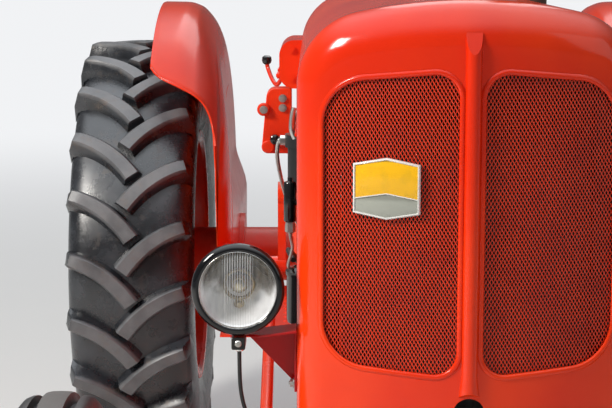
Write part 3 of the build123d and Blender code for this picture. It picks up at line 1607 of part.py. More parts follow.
# Lamp lead: out of the gland under the lamp, down in a short loop and back through the cowl's side.
lead_radius = 3.5
lead_end_gap = 1.4
lead_route = [
    (lamp_x, stem_y, stem_bottom - seat_gap),
    (lamp_x, stem_y, lamp_z - 154),
    (lamp_x - 2.5, stem_y + 1, lamp_z - 190),
    (lamp_x - 11, stem_y + 3, lamp_z - 224),
    (lamp_x - 32, stem_y + 5, lamp_z - 248),
    (lamp_x - 60, stem_y + 7, lamp_z - 251),
    (cowl_half_width + lead_end_gap, stem_y + 9, lamp_z - 237),
]


arc_share = 0.45


def lead_radii(route):
    """Arc radius at each corner: a share of its shorter run over the tangent of half the turn."""
    points = [Vector(*point) for point in route]
    radii = []
    for before, here, after in zip(points, points[1:], points[2:]):
        turn = (here - before).get_angle(after - here)
        shorter = min((here - before).length, (after - here).length)
        radii.append(arc_share * shorter / tan(radians(turn) / 2))
    return radii


radii = lead_radii(lead_route)
with BuildPart() as lamp_leads:
    with BuildLine() as lead_path:
        FilletPolyline(*lead_route, radius=radii)
    with BuildSketch(Plane(origin=lead_route[0], z_dir=(0, 0, -1))):
        Circle(lead_radius)
    sweep()
    mirror(about=Plane.YZ)
lead_length = sum(edge.length for edge in lead_path.edges())
print("lamp lead radii", [round(radius, 1) for radius in radii], "length", round(lead_length, 1))
swept_volume = pi * lead_radius**2 * lead_length
print("lamp lead volume", lamp_leads.part.volume / 2, "section times length", swept_volume)
lamp_leads.part.label = "lamp_leads"
export_step(lamp_leads.part, "parts/lamp_leads.step")
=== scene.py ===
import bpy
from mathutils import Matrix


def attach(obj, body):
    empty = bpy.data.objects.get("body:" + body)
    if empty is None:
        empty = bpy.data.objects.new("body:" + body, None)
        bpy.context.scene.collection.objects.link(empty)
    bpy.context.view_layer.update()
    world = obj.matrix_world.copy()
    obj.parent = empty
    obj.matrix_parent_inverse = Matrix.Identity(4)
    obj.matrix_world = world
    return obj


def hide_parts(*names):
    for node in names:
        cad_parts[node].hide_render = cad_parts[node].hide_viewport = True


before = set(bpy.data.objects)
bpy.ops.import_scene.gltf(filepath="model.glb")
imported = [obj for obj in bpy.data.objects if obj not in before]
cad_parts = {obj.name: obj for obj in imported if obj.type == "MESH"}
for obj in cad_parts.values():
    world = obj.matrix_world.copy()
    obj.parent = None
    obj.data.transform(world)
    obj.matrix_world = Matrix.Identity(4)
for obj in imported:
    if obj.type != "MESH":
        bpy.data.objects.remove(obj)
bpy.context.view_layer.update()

import math

import bmesh
import bpy
from mathutils import Euler, Vector


# Castings.
# Iron castings bolted end to end carry the machine: front support, engine, clutch housing, gearbox
# and rear axle. They are sand cast, so the skin is slightly rough under the enamel, and dust and oil
# sit on it where a hand doesn't reach.
class Wire:
    """An output socket that adds, multiplies and compares as a number does."""

    def __init__(self, tree, socket):
        self.tree, self.socket = tree, socket

    def other(self, name):
        """Another output of the same node."""
        return Wire(self.tree, self.socket.node.outputs[name])

    def sum(self, operation, *others):
        return node(self.tree, "ShaderNodeMath", dict(enumerate((self, *others))), operation=operation)

    def __add__(self, other):
        return self.sum("ADD", other)

    def __sub__(self, other):
        return self.sum("SUBTRACT", other)

    def __rsub__(self, other):
        return node(self.tree, "ShaderNodeMath", {0: other, 1: self}, operation="SUBTRACT")

    def __mul__(self, other):
        return self.sum("MULTIPLY", other)

    def __pow__(self, other):
        return self.sum("POWER", other)

    def __gt__(self, other):
        return self.sum("GREATER_THAN", other)

    def __lt__(self, other):
        return self.sum("LESS_THAN", other)

    def __abs__(self):
        return self.sum("ABSOLUTE")

    def ramp(self, low, high):
        """0 below low, 1 above high and smooth between."""
        sockets = {"Value": self, "From Min": low, "From Max": high}
        return node(self.tree, "ShaderNodeMapRange", sockets, interpolation_type="SMOOTHSTEP")


def node(tree, kind, sockets=None, out=0, **settings):
    """Adds a node: its settings first, then the values or wires of its sockets."""
    made = tree.nodes.new(kind)
    for name, value in settings.items():
        setattr(made, name, value)
    for key, value in (sockets or {}).items():
        for one in value if isinstance(value, list) else [value]:
            if isinstance(one, Wire):
                tree.links.new(one.socket, made.inputs[key])
            else:
                made.inputs[key].default_value = one
    return None if out is None else Wire(tree, made.outputs[out])


def place_in(tree, stretch=(1, 1, 1), move=(0, 0, 0)):
    """Object coordinates, stretched or moved for a pattern with a direction or a centre."""
    spot = node(tree, "ShaderNodeTexCoord", out="Object")
    return node(tree, "ShaderNodeMapping", {"Vector": spot, "Scale": stretch, "Location": move})


def finish_named(name, move=(0, 0, 0)):
    """A new material, and the object coordinates in its emptied tree."""
    made = bpy.data.materials.new(name)
    made.use_nodes = True
    made.node_tree.nodes.clear()
    return made, place_in(made.node_tree, move=move)


def close(place, shader):
    """Joins a shader, or a Principled one with these sockets, to the material's output."""
    if isinstance(shader, dict):
        shader = node(place.tree, "ShaderNodeBsdfPrincipled", shader)
    node(place.tree, "ShaderNodeOutputMaterial", {"Surface": shader}, out=None)


def axes(place):
    """The three numbers of a place."""
    first = node(place.tree, "ShaderNodeSeparateXYZ", {0: place})
    return first, first.other("Y"), first.other("Z")


def mottle(place, scale, detail=3.0, harsh=0.5):
    """Cloudy noise, from 0 to 1."""
    sockets = {"Vector": place, "Scale": scale, "Detail": detail, "Roughness": harsh}
    return node(place.tree, "ShaderNodeTexNoise", sockets)


def blend(mask, low, high):
    """The colour low where the mask is 0 and high where it is 1."""
    low, high = (one if isinstance(one, Wire) else (*one, 1) for one in (low, high))
    return node(mask.tree, "ShaderNodeMix", {0: mask, 6: low, 7: high}, out=2, data_type="RGBA")


def bump(height, depth):
    """Surface relief of a height from 0 to 1, this many metres deep."""
    return node(height.tree, "ShaderNodeBump", {"Strength": 1.0, "Distance": depth, "Height": height})


tractor_red = (0.86, 0.046, 0.004)
deep_red = (0.72, 0.024, 0.003)
dust_colour, oil_colour, chip_colour = (0.42, 0.34, 0.26), (0.055, 0.035, 0.025), (0.10, 0.055, 0.04)


def enamel(
    name, rough, skin, skin_size, colour=tractor_red, deep=deep_red, dust=0.15, coat=0.2, dirt=0, shaded_inside=False
):
    """Gloss enamel: uneven colour over a peel or cast skin, with dust, dirt and, if asked, an inside painted
    near black as painted shade.
    """
    made, place = finish_named(name)
    tint = blend(mottle(place, 2.6, 4).ramp(0.36, 0.66), colour, deep)
    up_facing = axes(node(place.tree, "ShaderNodeNewGeometry", out="Normal"))[2].ramp(0.25, 0.95)
    film = up_facing * mottle(place, 9, 5).ramp(0.35, 0.75) * dust
    tint = blend(film, tint, dust_colour)
    if dirt:
        soil = mottle(place, 6.5, 8, 0.62).ramp(0.52, 0.74) * dirt
        tint = blend(soil, tint, oil_colour)
        tint = blend(mottle(place, 70, 6, 0.7).ramp(0.70, 0.73), tint, chip_colour)
        film = film + soil * 0.6
    # If asked, faces that look inwards and towards the middle are painted near black: painted shade for the
    # dark inside of the cowl.
    if shaded_inside:
        across = axes(place)[0]
        x, y, z = axes(node(place.tree, "ShaderNodeTexCoord", out="Normal"))
        tint = blend((y - across * x * 5 - z * 0.8).ramp(0.45, 0.6), tint, (0.006, 0.005, 0.005))
    sockets = {
        "Base Color": tint,
        "Roughness": mottle(place, 14, 3) * 0.1 + film * 0.5 + rough,
        "Specular IOR Level": 0.25,
        "Coat Weight": coat,
        "Coat Roughness": 0.03,
        "Normal": bump(mottle(place, skin_size, 3, 0.6), skin),
    }
    close(place, sockets)
    return made


def metal(name, colour, stain, rough, depth=0.00005, stained=0.5):
    """Bare or plated metal: brushed grain, stains in patches and a duller finish where it is stained."""
    made, place = finish_named(name)
    patch = mottle(place, 22, 6, 0.6).ramp(0.45, 0.75) * stained
    lines = mottle(place_in(place.tree, (60, 60, 60)), 20, 3)
    sockets = {
        "Base Color": blend(patch, colour, stain),
        "Metallic": 1 - patch * 0.6,
        "Roughness": lines * 0.12 + patch * 0.35 + rough,
        "Normal": bump(lines, depth),
    }
    close(place, sockets)
    return made


def dress(finish, *names):
    """Gives the material slots of CAD nodes one finish."""
    for name in names:
        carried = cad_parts[name]
        for slot in carried.material_slots:
            slot.material = finish
        if not carried.material_slots:
            carried.data.materials.append(finish)


def skinned(rings, wrap=True, loop=False, ends=()):
    """Points and faces of a skin over rings of equal count.

    wrap closes each ring, loop joins the last ring to the first, and ends are the rings that get a face.
    """
    count, rows = len(rings[0]), len(rings)
    faces = []
    for row in range(rows if loop else rows - 1):
        here, there = row * count, (row + 1) % rows * count
        for i in range(count if wrap else count - 1):
            j = (i + 1) % count
            faces.append((here + i, here + j, there + j, there + i))
    for row in ends:
        faces.append(tuple(row % rows * count + i for i in range(count)))
    return [point for ring in rings for point in ring], faces


def together(*shapes):
    """Points and faces of several shapes as one."""
    points, faces = [], []
    for more_points, more_faces in shapes:
        faces += [tuple(len(points) + i for i in face) for face in more_faces]
        points += more_points
    return points, faces


def mesh_of(name, points, faces):
    mesh = bpy.data.meshes.new(name)
    mesh.from_pydata([tuple(point) for point in points], [], faces)
    return mesh


def added(name, data):
    """A new object in the scene."""
    made = bpy.data.objects.new(name, data)
    bpy.context.scene.collection.objects.link(made)
    return made


def belong(made, body="chassis", instead=None):
    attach(made, body)
    if instead:
        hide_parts(instead)


def set_out(name, shape, finish, body="chassis", crease=35.0, bevel=0.0, instead=None):
    """Makes a shape or mesh a piece: welded, facing outwards, with edges sharper than crease kept."""
    mesh = mesh_of(name, *shape) if isinstance(shape, tuple) else shape
    form = bmesh.new()
    form.from_mesh(mesh)
    bmesh.ops.remove_doubles(form, verts=form.verts, dist=0.000002)
    bmesh.ops.recalc_face_normals(form, faces=form.faces)
    for face in form.faces:
        face.smooth = True
    for edge in form.edges:
        edge.smooth = edge.calc_face_angle(0.0) < math.radians(crease)
    form.to_mesh(mesh)
    form.free()
    mesh.materials.clear()
    mesh.materials.append(finish)
    made = added(name, mesh)
    if bevel:
        edge_break = made.modifiers.new("edge_break", "BEVEL")
        edge_break.width, edge_break.segments, edge_break.angle_limit = bevel, 2, math.radians(crease)
    belong(made, body, instead)
    return made


def spun(outline, origin, along, steps, closed=True, side=None):
    """A shape turned from an outline of (distance along the axis, radius), closed on itself or open."""
    along = Vector(along)
    side = Vector(side or ((0, 0, 1) if abs(along.x) > 0.99 else (1, 0, 0)))
    third = along.cross(side)
    rings = []
    for step in range(steps):
        turn = 2 * math.pi * step / steps
        out = side * math.cos(turn) + third * math.sin(turn)
        rings.append([Vector(origin) + along * distance + out * radius for distance, radius in outline])
    return skinned(rings, wrap=closed, loop=True)


def turned(name, outline, origin, along, finish, steps=32, closed=None, side=None, **options):
    """A turned piece. Its outline is closed unless it meets the axis."""
    if closed is None:
        closed = all(radius for distance, radius in outline)
    return set_out(name, spun(outline, origin, along, steps, closed, side), finish, **options)


def eased(points, share=4, closed=False):
    """Points on a smooth line through the given ones, share of them to each run."""
    count = len(points)
    line = []
    for i in range(count if closed else count - 1):
        near = [(i + k) % count if closed else min(max(i + k, 0), count - 1) for k in (-1, 0, 1, 2)]
        before, here, there, after = (Vector(points[k]) for k in near)
        for k in range(share):
            t = k / share
            bend = 2 * here + (there - before) * t
            bend += (2 * before - 5 * here + 4 * there - after) * t**2
            bend += (3 * here - before - 3 * there + after) * t**3
            line.append(tuple(bend / 2))
    if not closed:
        line.append(tuple(points[-1]))
    return line


def folded(path, wall):
    """Closed outline of a bent sheet: its path, and the path again one thickness to the left of it."""
    path = [Vector(point) for point in path]
    runs = [(after - before).normalized() for before, after in zip(path, path[1:])]
    normals = [Vector((-run.y, run.x)) for run in runs]
    pairs = zip(path, [normals[0]] + normals, normals + [normals[-1]])
    inner = [point + (a + b) * (wall / (1 + a.dot(b))) for point, a, b in pairs]
    return [tuple(point) for point in path + inner[::-1]]


def tube(name, path, radius, finish, sides=10, body="chassis", closed=False, share=6):
    """A round pipe or bar along a smooth line through the points."""
    line = [Vector(point) for point in eased(path, share, closed)]
    rings = []
    side = None
    for i, here in enumerate(line):
        ahead = line[(i + 1) % len(line)] if closed or i + 1 < len(line) else here
        behind = line[i - 1] if closed or i else here
        run = (ahead - behind).normalized()
        side = side or run.orthogonal().normalized()
        side = (side - run * side.dot(run)).normalized()
        third = run.cross(side)
        turns = [2 * math.pi * k / sides for k in range(sides)]
        rings.append([here + (side * math.cos(turn) + third * math.sin(turn)) * radius for turn in turns])
    shape = skinned(rings, loop=closed, ends=() if closed else (0, -1))
    return set_out(name, shape, finish, body, crease=60)


def tree_named(name, sockets):
    """A new geometry tree with named inputs and one geometry output."""
    tree = bpy.data.node_groups.new(name, "GeometryNodeTree")
    for title, kind in sockets.items():
        tree.interface.new_socket(title, in_out="INPUT", socket_type=f"NodeSocket{kind}")
    tree.interface.new_socket("Shape", in_out="OUTPUT", socket_type="NodeSocketGeometry")
    given = node(tree, "NodeGroupInput")
    return tree, {title: given.other(title) for title in sockets}


def close_tree(tree, shape, finish):
    """Makes the instances real, gives them their finish and joins them to the output."""
    real = node(tree, "GeometryNodeRealizeInstances", {"Geometry": shape})
    coloured = node(tree, "GeometryNodeSetMaterial", {"Geometry": real, "Material": finish})
    node(tree, "NodeGroupOutput", {0: coloured}, out=None)


def grown(tree, given, base=None):
    """The plain mesh that a tree makes from its inputs."""
    host = added(tree.name, base or bpy.data.meshes.new(tree.name))
    step = host.modifiers.new("shape", "NODES")
    step.node_group = tree
    for item in tree.interface.items_tree:
        if item.in_out == "INPUT" and item.name in given:
            step[item.identifier] = given[item.name]
    bpy.context.view_layer.update()
    ready = host.evaluated_get(bpy.context.evaluated_depsgraph_get())
    mesh = bpy.data.meshes.new_from_object(ready)
    host.modifiers.remove(step)
    bpy.data.objects.remove(host)
    return mesh


cast_red = enamel("cast_red", 0.3, 0.0006, 260, dust=0.3, coat=0.1, dirt=0.35)
dress(cast_red, "front_support", "engine_block", "clutch_housing", "gearbox_housing", "rear_axle_housing")
dress(cast_red, "drawbar", "power_shaft", "seat_spring")
steel = metal("steel", (0.55, 0.54, 0.52), (0.20, 0.13, 0.09), 0.28)

# Every bolt has a six-sided head on a round washer, with the end of its thread standing out of it.
bolt_sockets = {"Places": "Geometry", "Across": "Float", "Height": "Float", "Finish": "Material"}
bolt_tree, given = tree_named("bolt_heads", bolt_sockets)


def drum(tree, sides, radius, depth):
    """A short cylinder that stands on the origin."""
    sockets = {"Vertices": sides, "Radius": radius, "Depth": depth}
    raw = node(tree, "GeometryNodeMeshCylinder", sockets, out="Mesh")
    lift = node(tree, "ShaderNodeCombineXYZ", {2: depth * 0.5})
    return node(tree, "GeometryNodeTransform", {"Geometry": raw, "Translation": lift})


def facing(tree):
    """The named attribute that says how each place's instance is turned."""
    return node(tree, "GeometryNodeInputNamedAttribute", {"Name": "facing"}, data_type="FLOAT_VECTOR")


def places_of(name, places):
    """A mesh of loose points at (place, facing)."""
    spots = mesh_of(f"{name}_places", [place for place, way in places], [])
    ways = spots.attributes.new("facing", "FLOAT_VECTOR", "POINT")
    for spot, (place, way) in zip(ways.data, places):
        spot.vector = way
    return spots


across, height = given["Across"], given["Height"]
shank = drum(bolt_tree, 8, across * 0.3, height * 1.35)
head = drum(bolt_tree, 6, across * 0.577, height)
washer = drum(bolt_tree, 14, across * 0.72, height * 0.25)
joined = node(bolt_tree, "GeometryNodeJoinGeometry", {"Geometry": [shank, head, washer]})
turn = node(bolt_tree, "FunctionNodeAlignRotationToVector", {"Vector": facing(bolt_tree)}, axis="Z")
sockets = {"Points": given["Places"], "Instance": joined, "Rotation": turn}
close_tree(bolt_tree, node(bolt_tree, "GeometryNodeInstanceOnPoints", sockets), given["Finish"])


def bolts(name, places, across, height, finish=steel, body="chassis"):
    """Bolt heads at (place, direction that the head faces)."""
    sizes = {"Across": across, "Height": height, "Finish": finish}
    return set_out(name, grown(bolt_tree, sizes, places_of(name, places)), finish, body, crease=30)


def angles(count, first=0.0):
    """Angles evenly round a circle, from the first one in degrees."""
    return [math.radians(first + 360 * i / count) for i in range(count)]


def round_axle(x, y, z, radius, turn):
    """A place on a circle round an axle's direction."""
    return (x, y + radius * math.cos(turn), z + radius * math.sin(turn))


both = (1, -1)
hands = ((1, "left"), (-1, "right"))
up, down, ahead, astern, axle = (0, 0, 1), (0, 0, -1), (0, -1, 0), (0, 1, 0), (1, 0, 0)
hub_y, hub_z = 0.8775, 0.655
casting_bolts = [((x * 0.157, -1.045 + 0.072 * i, 0.752), up) for x in both for i in range(10)]
casting_bolts += [((x * 0.118, -1.03 + 0.105 * i, 1.215), up) for x in both for i in range(7)]
casting_bolts += [((x * 0.197, -0.3725, 0.66 + 0.085 * i), ahead) for x in both for i in range(5)]
casting_bolts += [((x * 0.092, -1.1305, 0.83 + 0.075 * i), ahead) for x in both for i in range(4)]
casting_bolts += [((x * 0.078, 0.30 + 0.076 * i, 0.930), up) for x in both for i in range(4)]
casting_bolts += [((x * 0.14, -1.30 + 0.06 * i, 0.66), (x, 0, 0)) for x in both for i in range(4)]
casting_bolts += [((x * 0.05, 0.0425 - y, 0.93), up) for x in both for y in (-0.085, 0.085)]
for x in both:
    spots = [round_axle(x * 0.188, hub_y, hub_z, 0.128, turn) for turn in angles(10, 18)]
    casting_bolts += [(spot, (x, 0, 0)) for spot in spots]
bolts("casting_bolts", casting_bolts, 0.017, 0.009, cast_red)


# Engine.
# A four-cylinder diesel: the head and rocker cover on the block, the injection pump with its four
# pipes and the air cleaner on the right, and the manifold on the left. All but the manifold is
# sprayed in the machine's colour after assembly.
engine_red = enamel("engine_red", 0.26, 0.0004, 240, dust=0.25, coat=0.15, dirt=0.2)
dress(engine_red, "cylinder_head", "injection_pump", "starter_motor", "air_cleaner")
soot_black = enamel("soot_black", 0.34, 0.0002, 200, (0.014, 0.014, 0.015), (0.03, 0.026, 0.022), dust=0.3)
dress(soot_black, "dynamo", "fuel_filter")
iron_colours = (0.10, 0.055, 0.035), (0.055, 0.04, 0.034)
rusty_iron = enamel("rusty_iron", 0.62, 0.0007, 180, *iron_colours, coat=0.0, dirt=0.5)
dress(rusty_iron, "manifold", "exhaust")

pump_x, pump_y, pump_top = -0.19, -0.7725, 1.03
for i in range(4):
    foot, port = pump_y + 0.052 * (i - 1.5), -0.7225 + 0.15 * (i - 1.5)
    run = [
        (pump_x, foot, pump_top - 0.006),
        (pump_x, foot, pump_top + 0.035),
        (pump_x - 0.006, foot + (port - foot) * 0.25, pump_top + 0.09),
        (-0.168, port, 1.165),
        (-0.135, port, 1.190),
        (-0.118, port, 1.2145),
    ]
    tube(f"injector_pipe_{i + 1}", run, 0.0033, steel, 8)
pump_bolts = [((-0.228, pump_y + y, 0.95 + z), (-1, 0, 0)) for y in (-0.11, 0, 0.11) for z in (-0.034, 0.034)]
for i in range(6):
    turn = i * 1.047
    place = (pump_x + 0.028 * math.cos(turn), -1.0025, 0.946 + 0.028 * math.sin(turn))
    pump_bolts.append((place, ahead))
bolts("pump_bolts", pump_bolts, 0.011, 0.006)
for i, z in enumerate((0.930, 0.958, 0.984)):
    band = [(z - 0.004, 0.0695), (z - 0.0015, 0.0716), (z + 0.0015, 0.0716), (z + 0.004, 0.0695)]
    turned(f"cleaner_band_{i + 1}", band, (-0.226, -0.5425, 0), up, engine_red, 64)

# The fuel filter's black bowl hangs in a wire bail, with a pipe out of each side of its head.
bail = [(-1.0265, 1.222), (-1.0285, 1.20), (-1.0260, 1.145), (-1.012, 1.1155), (-0.9825, 1.1135)]
bail += [(-0.953, 1.1155), (-0.9390, 1.145), (-0.9365, 1.20), (-0.9385, 1.222)]
tube("filter_bail", [(-0.262, y, z) for y, z in bail], 0.0022, steel, 8)
filter_pipe = [(-0.305, -0.9825, 1.216), (-0.318, -0.9825, 1.214), (-0.320, -0.96, 1.17)]
filter_pipe += [(-0.30, -0.90, 1.08), (-0.262, -0.86, 1.0), (-0.232, -0.84, 0.975)]
tube("filter_pipe", filter_pipe, 0.004, steel)
union = [(-0.012, 0), (-0.012, 0.008), (-0.004, 0.0095), (0.006, 0.0095), (0.008, 0.006), (0.012, 0)]
for i, place in enumerate(((-0.309, -0.9825, 1.216), (-0.229, -0.838, 0.975))):
    turned(f"pipe_union_{i + 1}", union, place, (-1, 0, 0), steel, 6)


# Radiator, fan and belt.
# The core is a dark stack of fins between two tanks. A rubber hose runs from its top tank to the
# engine and another from its foot, each under wire clips, and the four-bladed fan pulls through it.
core, place = finish_named("core_fins")
x, y, z = axes(place)
fins = (z * 3141.6).sum("SINE") * 0.5 + 0.5
tubes = (x * 520).sum("SINE").ramp(0.55, 0.8)
clogged = mottle(place, 12, 6).ramp(0.5, 0.8) * 0.5
shade = blend(fins, (0.004, 0.004, 0.004), (0.03, 0.028, 0.026))
sockets = {
    "Base Color": blend(clogged, shade, (0.06, 0.045, 0.03)),
    "Roughness": clogged * 0.3 + 0.55,
    "Normal": bump(fins * (1 - tubes) + tubes, 0.0012),
}
close(place, sockets)
dress(core, "radiator")
# A black sheet closes the gap between the core and the cowl on each side: painted shade, standing in for the
# dark behind the outer edge of each opening.
shade_baffle = [(0.2062, -1.348), (0.2062, -1.37), (0.213, -1.3775), (0.26, -1.383)]
shade_baffle += [(0.27, -1.392), (0.273, -1.402)]
shade_baffle_wall = 0.0026
for side, hand in hands:
    rings = []
    for x, y in shade_baffle:
        low, high = 0.775, 1.372 - 0.25 * max(0, x - 0.21)
        front = [(side * x, y, z) for z in (low, high)]
        back = [(side * (x + shade_baffle_wall * 0.4), y + shade_baffle_wall, z) for z in (high, low)]
        rings.append(front + back)
    set_out(f"baffle_{hand}", skinned(rings, ends=(0, -1)), soot_black, crease=40)
fan_colours = (0.62, 0.030, 0.006), (0.40, 0.018, 0.004)
fan_red = enamel("fan_red", 0.35, 0.0003, 200, *fan_colours, dust=0.35, dirt=0.3)
dress(fan_red, "fan")

# Moulded rubber is near black, greyer where it is dusty or aged, with a fine matt grain.
hose_rubber, place = finish_named("hose_rubber")
aged = mottle(place, 16, 6, 0.6).ramp(0.35, 0.8) * 0.4
sockets = {
    "Base Color": blend(aged, (0.012, 0.012, 0.013), (0.05, 0.047, 0.043)),
    "Roughness": aged * 0.25 + 0.38,
    "Specular IOR Level": 0.45,
    "Normal": bump(mottle(place, 500, 3), 0.0002),
}
close(place, sockets)
dress(hose_rubber, "fan_belt")
top_hose = [(-1.30, 1.400), (-1.255, 1.395), (-1.20, 1.365), (-1.165, 1.29), (-1.10, 1.20), (-1.06, 1.175)]
top_hose = [(0.0, y, z) for y, z in top_hose]
low_hose = [(-0.15, -1.30, 0.79), (-0.15, -1.25, 0.79), (-0.145, -1.19, 0.83), (-0.13, -1.13, 0.90)]
low_hose += [(-0.10, -1.08, 0.93)]
hose_half = 0.021
for name, run in (("top_hose", top_hose), ("low_hose", low_hose)):
    tube(name, run, hose_half, hose_rubber, 20)
    for i, (here, there) in enumerate(((run[0], run[1]), (run[-1], run[-2]))):
        way = (Vector(there) - Vector(here)).normalized()
        clip = [(-0.005, 0.0002), (-0.005, 0.0018), (0.005, 0.0018), (0.005, 0.0002)]
        clip = [(along, hose_half + rise) for along, rise in clip]
        side = way.orthogonal().normalized()
        turned(f"{name}_clip_{i + 1}", clip, Vector(here) + way * 0.022, way, steel, side=side)


# Nose cowl.
# Pressed steel, deep-drawn to a soft prow with a ridge down its middle, and sprayed in gloss. The
# edge of each opening is rolled outwards into a narrow bead.
sheet_red = enamel("sheet_red", 0.14, 0.00006, 420, dust=0.04, coat=0.12)
dress(sheet_red, "bonnet", "scuttle", "footplates")
# The cowl's inside is painted near black, as painted shade.
cowl_red = enamel("cowl_red", 0.10, 0.00005, 420, dust=0.03, coat=0.2, shaded_inside=True)
dress(cowl_red, "nose_cowl")

prow_radius, prow_shift, prow_y = 0.72, 0.05435, -0.78535


def prow(x, out=0.0):
    """Y of the cowl's front at a distance from the middle, and a little out from its skin."""
    return prow_y - math.sqrt((prow_radius + out) ** 2 - (abs(x) + prow_shift) ** 2)


def rounded(corners, radii, steps=8):
    """Closed outline with an arc at each corner."""
    outline = []
    for i, (corner, radius) in enumerate(zip(corners, radii)):
        here, before, after = Vector(corner), Vector(corners[i - 1]), Vector(corners[(i + 1) % len(corners)])
        back, ahead = (before - here).normalized(), (after - here).normalized()
        half = back.angle(ahead) / 2
        middle = here + (back + ahead).normalized() * radius / math.sin(half)
        start = here + back * radius / math.tan(half) - middle
        stop = here + ahead * radius / math.tan(half) - middle
        for k in range(steps + 1):
            way = start.lerp(stop, k / steps)
            outline.append(tuple(middle + way * (radius / way.length)))
    return outline


opening_corners = [(0.020, 0.888), (0.237, 0.904), (0.237, 1.362), (0.020, 1.382)]
inner_corner, outer_corner = 0.038, 0.072
bead_section = [(-0.0012, -0.0032), (-0.0012, 0.0004), (0.0006, 0.0022)]
bead_section += [(0.0036, 0.0030), (0.0064, 0.0022), (0.0082, 0.0002)]
outline = rounded(opening_corners, [inner_corner, outer_corner, outer_corner, inner_corner], 10)
outline = [Vector(point) for point in outline]
# More points on the long sides, so that the bead follows the swell of the prow.
line = []
for here, there in zip(outline, outline[1:] + outline[:1]):
    parts = max(1, round((there - here).length / 0.02))
    line += [here.lerp(there, k / parts) for k in range(parts)]
line = [point for i, point in enumerate(line) if (point - line[i - 1]).length > 0.0005]
for side, hand in hands:
    rings = []
    for i, here in enumerate(line):
        run = (line[(i + 1) % len(line)] - line[i - 1]).normalized()
        ring = []
        for reach, rise in bead_section:
            x, z = here + Vector((run.y, -run.x)) * reach
            ring.append((x * side, prow(x, rise), z))
        rings.append(ring)
    set_out(f"opening_bead_{hand}", skinned(rings, wrap=False, loop=True), sheet_red, crease=50)


# Grille mesh.
# Expanded steel behind each opening: slit and stretched into staggered diamonds whose strands stand
# at a slant, then painted with the cowl. It follows the prow and is clamped behind the opening's edge.
mesh_red, place = finish_named("mesh_red")
worn = mottle(place, 18, 5).ramp(0.4, 0.75)
sockets = {
    "Base Color": blend(worn, (0.72, 0.045, 0.010), (0.60, 0.032, 0.008)),
    "Roughness": worn * 0.15 + 0.3,
    "Specular IOR Level": 0.5,
    "Normal": bump(mottle(place, 300, 3), 0.00006),
}
close(place, sockets)

cell_width, cell_height = 0.0061, 0.0106
hole_width, hole_height = 0.0041, 0.0079
rims = (
    (cell_width / 2, cell_height / 2, 0.0002, 0.0002),
    (hole_width / 2, hole_height / 2, -0.0006, 0.0007),
    (hole_width / 2, hole_height / 2, 0.0008, 0.0016),
)
points, faces = [], []
for wide, high, low_y, high_y in rims:
    middle_y = (low_y + high_y) / 2
    points += [(wide, middle_y, 0), (0, high_y, high), (-wide, middle_y, 0), (0, low_y, -high)]
for ring in (0, 4):
    for i, j in ((0, 1), (1, 2), (2, 3), (3, 0)):
        faces.append((ring + i, ring + 4 + i, ring + 4 + j, ring + j))
cell = added("mesh_cell", mesh_of("mesh_cell", points, faces))

lattice_sockets = {"Side": "Float", "Cell": "Object", "Cell width": "Float", "Cell height": "Float"}
lattice_sockets.update({"Columns": "Int", "Rows": "Int", "Finish": "Material"})
lattice_tree, given = tree_named("expanded_mesh", lattice_sockets)


def position(tree):
    """The three numbers of each point's position."""
    return axes(node(tree, "GeometryNodeInputPosition"))


opening_x, opening_z = 0.1285, 1.135
top_slope, foot_slope = 0.0922, 0.0737
rows = []
for shift in (0.0, 0.5):
    sockets = {
        "Size X": given["Cell width"] * (given["Columns"] - 1),
        "Size Y": given["Cell height"] * (given["Rows"] - 1),
        "Vertices X": given["Columns"],
        "Vertices Y": given["Rows"],
    }
    flat = node(lattice_tree, "GeometryNodeMeshGrid", sockets)
    x, y, z = position(lattice_tree)
    sockets = {
        0: x + given["Cell width"] * shift + given["Side"] * opening_x,
        2: y + given["Cell height"] * shift + opening_z,
    }
    upright = node(lattice_tree, "ShaderNodeCombineXYZ", sockets)
    rows.append(node(lattice_tree, "GeometryNodeSetPosition", {"Geometry": flat, "Position": upright}))
spread = node(lattice_tree, "GeometryNodeJoinGeometry", {"Geometry": rows})
x, y, z = position(lattice_tree)
reach = abs(x)
high = 1.382 - (reach - 0.020) * top_slope
low = (reach - 0.020) * foot_slope + 0.888
upward = abs(z - (high + low) * 0.5) - ((high - low) * 0.5 - outer_corner)
outward = (reach - (0.237 - outer_corner)).sum("MAXIMUM", 0.0)
corner = outward**2 + upward.sum("MAXIMUM", 0.0) ** 2
outside = (corner > (outer_corner + 0.005) ** 2).sum("MAXIMUM", reach < 0.016)
kept = node(lattice_tree, "GeometryNodeDeleteGeometry", {"Geometry": spread, "Selection": outside})
source = node(lattice_tree, "GeometryNodeObjectInfo", {"Object": given["Cell"]}, out="Geometry")
cells = node(lattice_tree, "GeometryNodeInstanceOnPoints", {"Points": kept, "Instance": source})
real = node(lattice_tree, "GeometryNodeRealizeInstances", {"Geometry": cells})
swell = (prow_radius - 0.0043) ** 2 - (abs(position(lattice_tree)[0]) + prow_shift) ** 2
moved = node(lattice_tree, "ShaderNodeCombineXYZ", {1: prow_y - swell.sum("SQRT")})
bent = node(lattice_tree, "GeometryNodeSetPosition", {"Geometry": real, "Offset": moved})
close_tree(lattice_tree, bent, given["Finish"])
for side, hand in hands:
    sizes = {"Side": float(side), "Cell": cell, "Cell width": cell_width, "Cell height": cell_height}
    mesh = grown(lattice_tree, {**sizes, "Columns": 40, "Rows": 52, "Finish": mesh_red})
    mesh.materials.clear()
    mesh.materials.append(mesh_red)
    belong(added(f"grille_mesh_{hand}", mesh), instead="grille_mesh")
bpy.data.objects.remove(cell)


# Badge.
# A bare shield on the right-hand mesh: a plated rim with a peaked divider, and two fields of glass
# enamel, amber above and grey below. Two studs hold it through the mesh.
badge_x = 0.134
badge_turn = math.asin((badge_x + prow_shift) / 0.7167)
badge_origin = Vector((-badge_x, prow_y - 0.717 * math.cos(badge_turn), 1.194))
badge_right = Vector((math.cos(badge_turn), -math.sin(badge_turn), 0))
badge_out = Vector((-math.sin(badge_turn), -math.cos(badge_turn), 0))


